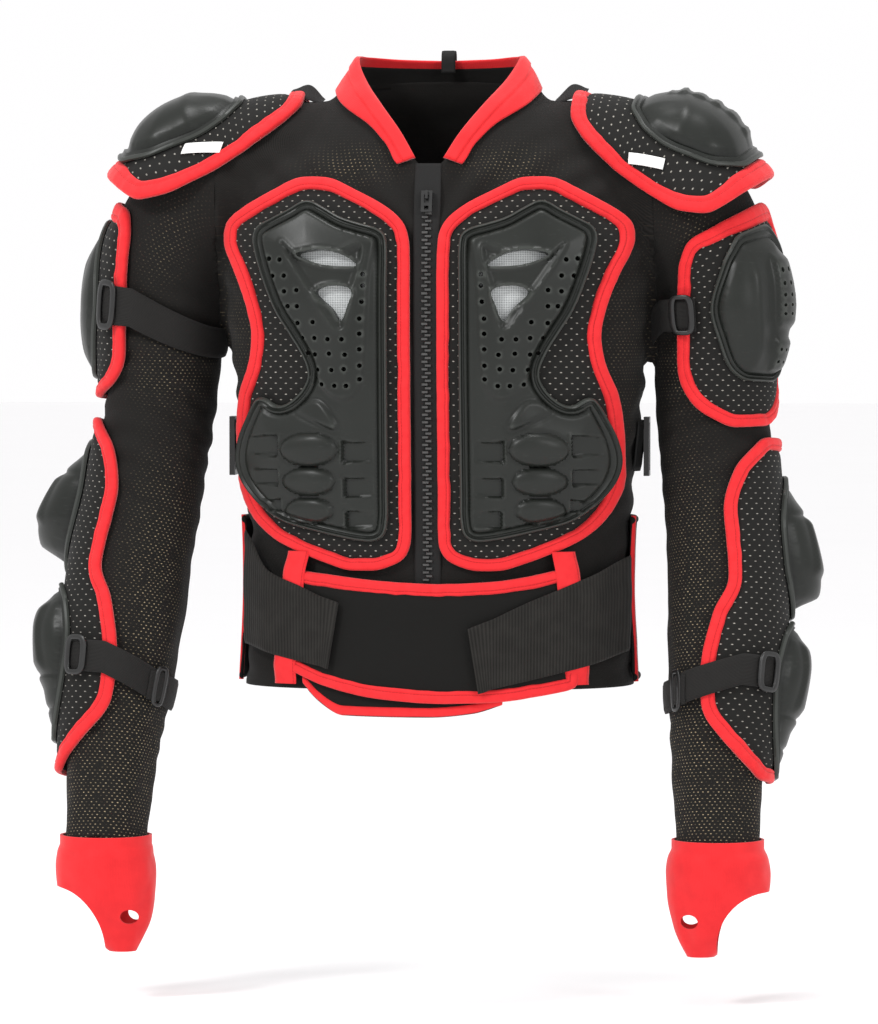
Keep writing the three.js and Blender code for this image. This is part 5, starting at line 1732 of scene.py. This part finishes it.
def belt_outline(rows, spacing, rounding):
    rows = np.array(rows, float)
    across = np.linspace(rows[0, 0], rows[-1, 0], 200)
    top, low = (xyz(across * BELT_HALF, belt_level(rows, across, edge)) for edge in (0, 1))
    return resample(np.vstack([low, top[::-1]]), spacing, rounding)


def belt():
    def cover(u, v, edge):
        return 2.2 + (PAD - 2.2) * smooth(0, 12, edge) + 0.7 * flat_noise(u, v, (50, 26), 93) \
            + 0.3 * flat_noise(u, v, (14, 10), 94)

    outline = belt_outline(BELT_FRONT, 3.0, 3)
    front = patch("belt_front_cloth", inset(outline, 3, 2),
                  lambda u, v, h: belly(u, v, BELT_FRONT_LIFT + h), cover, LOOK["smooth"], 4.0,
                  rings=PAD_RINGS)
    swell(front, outline_keep=2.0, cap=1.4)
    settle(front, "padding", "belt_front")
    loop = belt_outline(BELT_FRONT, 2.2, 10)
    trim = binding("belt_binding", loop, TRIM_WIDTH + 1.0, BELT_FRONT_LIFT - 0.4, PAD + TRIM_PROUD + 0.6,
                   belly, LOOK["red"], 15)
    settle(trim, "red_binding", "belt_trim")
    for name, high, low in (("left", -0.905, -1.000), ("right", 0.915, 1.005)):
        def end_band(along, across, up, high=high, low=low):
            u = (high + (low - high) * along + across * 0.15) * BELT_HALF
            v = END_BAND[0] + along * (END_BAND[1] - END_BAND[0])
            sink = 4.5 * (smooth(0.16, 0, along) + smooth(0.84, 1, along))
            return belly(u, v, BELT_FRONT_LIFT + PAD + 0.7 - sink
                         + up * (TRIM_PROUD + 0.3 + 0.9 * arch(across)))

        band = strip(f"belt_end_band_{name}", 60, 9, end_band, LOOK["red"], (122, 19), edge=1.0)
        settle(band, "red_binding")

    lining = patch("belt_lining_cloth", belt_outline(BELT_INNER, 3.0, 6),
                   lambda u, v, h: belly(u, v, SEAT + h), lambda u, v, edge: BELT_LAYER + 0 * u,
                   LOOK["smooth"], 5.0, rings=(3,))
    settle(lining, "belt_lining", "belt_inner")
    low, high, width = -0.885, 0.515, 9.5

    def hem_place(along, across, up):
        x = low + along * (high - low)
        v = belt_level(BELT_INNER, x, 1) - (0.5 + across) * width
        wave = 0.3 * flat_noise(x * BELT_HALF, v, 12, 95)
        return belly(x * BELT_HALF, v,
                     SEAT - 0.2 + up * (BELT_LAYER + 1.1) + (0.8 * arch(across) + wave) * up)

    hem = strip("belt_lining_hem", 120, 7, hem_place, LOOK["red"], ((high - low) * BELT_HALF, width),
                edge=1.0)
    settle(hem, "red_binding")

    back = BELT_BACK

    def around(along, across, up):
        angle = back["from"] + along * (back["to"] - back["from"])
        z = (across - 0.5) * (back["bottom"] - back["top"]) - back["top"]
        flat = (angle * BODY_RADIUS, z)
        wave = 1.1 * flat_noise(*flat, (70, 34), 96) + 0.4 * flat_noise(*flat, (22, 14), 97)
        rib = 0.8 * np.cos(along * np.pi * 9) ** 8
        return body_skin(angle, z, SEAT + up * BELT_LAYER + (wave - rib) * up)

    cloth = strip("belt_back_cloth", 190, 34, around, LOOK["smooth"], (560, 150), edge=0.8)
    settle(cloth, "padding", "belt_back")
    for hand, side in SIDE.items():
        angle = back["from"] if side > 0 else back["to"]

        def upright(along, across, up, angle=angle):
            z = -back["top"] + 1 - along * (back["bottom"] - back["top"] + 2)
            return body_skin(angle + side * 0.035 + across * 0.055, z,
                             SEAT - 0.2 + up * (BELT_LAYER + 1.3 + 0.5 * arch(across)))

        edge = strip(f"belt_side_binding_{hand}", 60, 7, upright, LOOK["red"], (150, 9), edge=1.0)
        settle(edge, "red_binding")
    for rim, top in (("top", back["top"]), ("bottom", back["bottom"])):
        def rail(along, across, up, top=top):
            angle = back["from"] + along * (back["to"] - back["from"])
            return body_skin(angle, -top - across * 7 + (3 if rim == "bottom" else -3),
                             SEAT - 0.2 + up * (BELT_LAYER + 1.2 + 0.5 * arch(across)))

        edge = strip(f"belt_back_{rim}_binding", 190, 6, rail, LOOK["smooth"], (560, 7), edge=1.0)
        settle(edge, "padding")

    for hand, rows in BELT_STRAP.items():
        side = SIDE[hand]
        rows = sorted(rows)
        first, last = rows[0][0], rows[-1][0]

        def strap_place(along, across, up, rows=rows, first=first, last=last, side=side):
            x = first + along * (last - first)
            top, low = belt_level(rows, x, 0), belt_level(rows, x, 1)
            tip = smooth(0.16, 0.0, (1 - along) if side < 0 else along)
            v = top + (across + 0.5) * (low - top)
            u = x * BELT_HALF + side * (across * 9) * tip
            share = smooth(1.04, 1.29, np.abs(u) / BELT_HALF)
            base = BELT_STRAP_LIFT - (BELT_STRAP_LIFT - BELT_FRONT_LIFT) * share
            wave = 0.9 * flat_noise(u, v, (40, 22), 98) + 0.35 * flat_noise(u, v, (14, 10), 99)
            return belly(u, v, base + up * ELASTIC + wave + 1.6 * tip ** 2)

        strap = strip(f"belt_elastic_{hand}", 120, 30, strap_place, LOOK["belt"],
                      ((last - first) * BELT_HALF, 60), edge=0.6)
        settle(strap, "elastic", f"belt_strap_{hand}")


belt()

# Side straps

SIDE_SEAT = 1.4
SIDE_STRAP = {"top": 303.0, "bottom": 349.0, "from": 1.4, "to": 2.3}


def side_straps():
    for hand, side in SIDE.items():
        middle = -(SIDE_STRAP["top"] + SIDE_STRAP["bottom"]) / 2
        tall = SIDE_STRAP["bottom"] - SIDE_STRAP["top"]

        def web(along, across, up, side=side):
            angle = side * (SIDE_STRAP["from"] + along * (SIDE_STRAP["to"] - SIDE_STRAP["from"]))
            hump = 2.6 * bump(along, 0.18, 0.11)
            return body_skin(angle, middle + across * tall, SIDE_SEAT + hump + up * WEBBING)

        strap = strip(f"side_webbing_{hand}", 60, 9, web, LOOK["webbing"], (150, tall), edge=0.5)
        settle(strap, "webbing", f"side_strap_{hand}")
        dress(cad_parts[f"side_buckle_{hand}"], LOOK["gloss"], 0.8)


def dress(obj, material, bevel):
    """Gives a CAD piece its material and softens its edges."""
    for slot in obj.material_slots:
        slot.material = material
    modify(obj, "BEVEL", width=bevel * MM, segments=3, limit_method="ANGLE",
           angle_limit=math.radians(40))


side_straps()

# Zip

ZIP_X, ZIP_LIFT, ZIP_TOP, ZIP_BOTTOM = -1.0, 0.6, 110.4, 448.0
TOOTH_PITCH = 3.4


def zip_chain():
    count = int((ZIP_BOTTOM - ZIP_TOP) / TOOTH_PITCH)
    points, faces = [], []
    shape = np.array([(-1, -1, 0), (1, -1, 0), (1, 1, 0), (-1, 1, 0),
                      (-0.86, -0.8, 1), (0.86, -0.8, 1), (0.86, 0.8, 1), (-0.86, 0.8, 1)], float)
    cube = [(0, 3, 2, 1), (4, 5, 6, 7), (0, 1, 5, 4), (1, 2, 6, 5), (2, 3, 7, 6), (3, 0, 4, 7)]
    for i in range(count):
        side = 1 if i % 2 else -1
        v = ZIP_TOP + (i + 0.5) * TOOTH_PITCH
        p = shape * [3.1, 1.22, 2.3] + [side * 1.5, 0, 0.35]
        at = chest_skin(ZIP_X + p[:, 0], -(v + p[:, 1]), ZIP_LIFT + p[:, 2])
        faces += [tuple(len(points) * 8 + k for k in face) for face in cube]
        points.append(at)
    teeth = make("zip_teeth", np.vstack(points), faces, LOOK["teeth"], flat=True)
    modify(teeth, "BEVEL", width=0.35 * MM, segments=2, limit_method="NONE")
    apply(teeth)
    settle(teeth, "black_plastic", "zip_chain")

    def tape(along, across, up):
        return chest_skin(ZIP_X + across * 24, -(70 + along * (ZIP_BOTTOM - 62)), 0.25 + up * 0.8)

    cloth = strip("zip_tape", 120, 13, tape, LOOK["webbing"], (380, 24), edge=0.3)
    settle(cloth, "webbing")
    dress(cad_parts["zip_slider"], LOOK["gloss"], 0.9)
    dress(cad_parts["zip_pull"], LOOK["gloss"], 0.4)


zip_chain()

# Floor, light and camera

FLOOR_LEVEL = -835.0
FLOOR_REACH = 30000.0
# Place, target, size and power of each lamp, in metres and watts
LAMPS = [
    ("key", (-2.0, -2.6, 1.9), (0, 0, -0.30), 0.8, 70),
    ("fill", (2.4, -2.4, 0.6), (0, 0, -0.40), 1.0, 20),
    ("top", (0.3, -0.4, 2.4), (0, 0, -0.2), 1.0, 34),
]
# The photograph's height in pixels and its scale in mm for each pixel
PHOTO_HEIGHT, PHOTO_SCALE = 1024, 0.92
VIEW_AZIMUTH, VIEW_ELEVATION, VIEW_DISTANCE = 5, 2, 6.0
VIEW_TARGET = (-0.001, 0.0, -0.388)
SENSOR = 36


def stage():
    look = Material("floor", 0.9)
    look.colour(look.mix(look.noise(3, 2), (0.955, 0.95, 0.955), (0.975, 0.97, 0.975)))
    reach = (-FLOOR_REACH, FLOOR_REACH)
    points = [(x, y, FLOOR_LEVEL) for x in reach for y in reach]
    make("floor", points, [(0, 2, 3, 1)], look.data)

    world = bpy.context.scene.world or bpy.data.worlds.new("studio")
    bpy.context.scene.world = world
    world.use_nodes = True
    back = world.node_tree.nodes["Background"]
    back.inputs["Color"].default_value = (1.0, 0.995, 1.0, 1)
    back.inputs["Strength"].default_value = 1.0
    for name, where, target, size, power in LAMPS:
        lamp = bpy.data.lights.new(name, "AREA")
        lamp.shape = "DISK"
        lamp.size = size
        lamp.energy = power
        aim(add(name, lamp), Vector(where), Vector(target))


def aim(obj, where, target):
    obj.location = where
    obj.rotation_euler = (target - where).to_track_quat("-Z", "Y").to_euler()


def camera():
    azimuth, elevation = math.radians(VIEW_AZIMUTH), math.radians(VIEW_ELEVATION)
    back = Vector((math.sin(azimuth) * math.cos(elevation),
                   -math.cos(azimuth) * math.cos(elevation), math.sin(elevation)))
    data = bpy.data.cameras.new("view")
    data.sensor_fit = "VERTICAL"
    data.sensor_height = SENSOR
    data.lens = SENSOR * VIEW_DISTANCE / (PHOTO_HEIGHT * PHOTO_SCALE * MM)
    data.clip_end = 100
    target = Vector(VIEW_TARGET)
    holder = add("view", data)
    aim(holder, target + back * VIEW_DISTANCE, target)
    bpy.context.scene.camera = holder
    bpy.context.scene.view_settings.view_transform = "Standard"


stage()
camera()
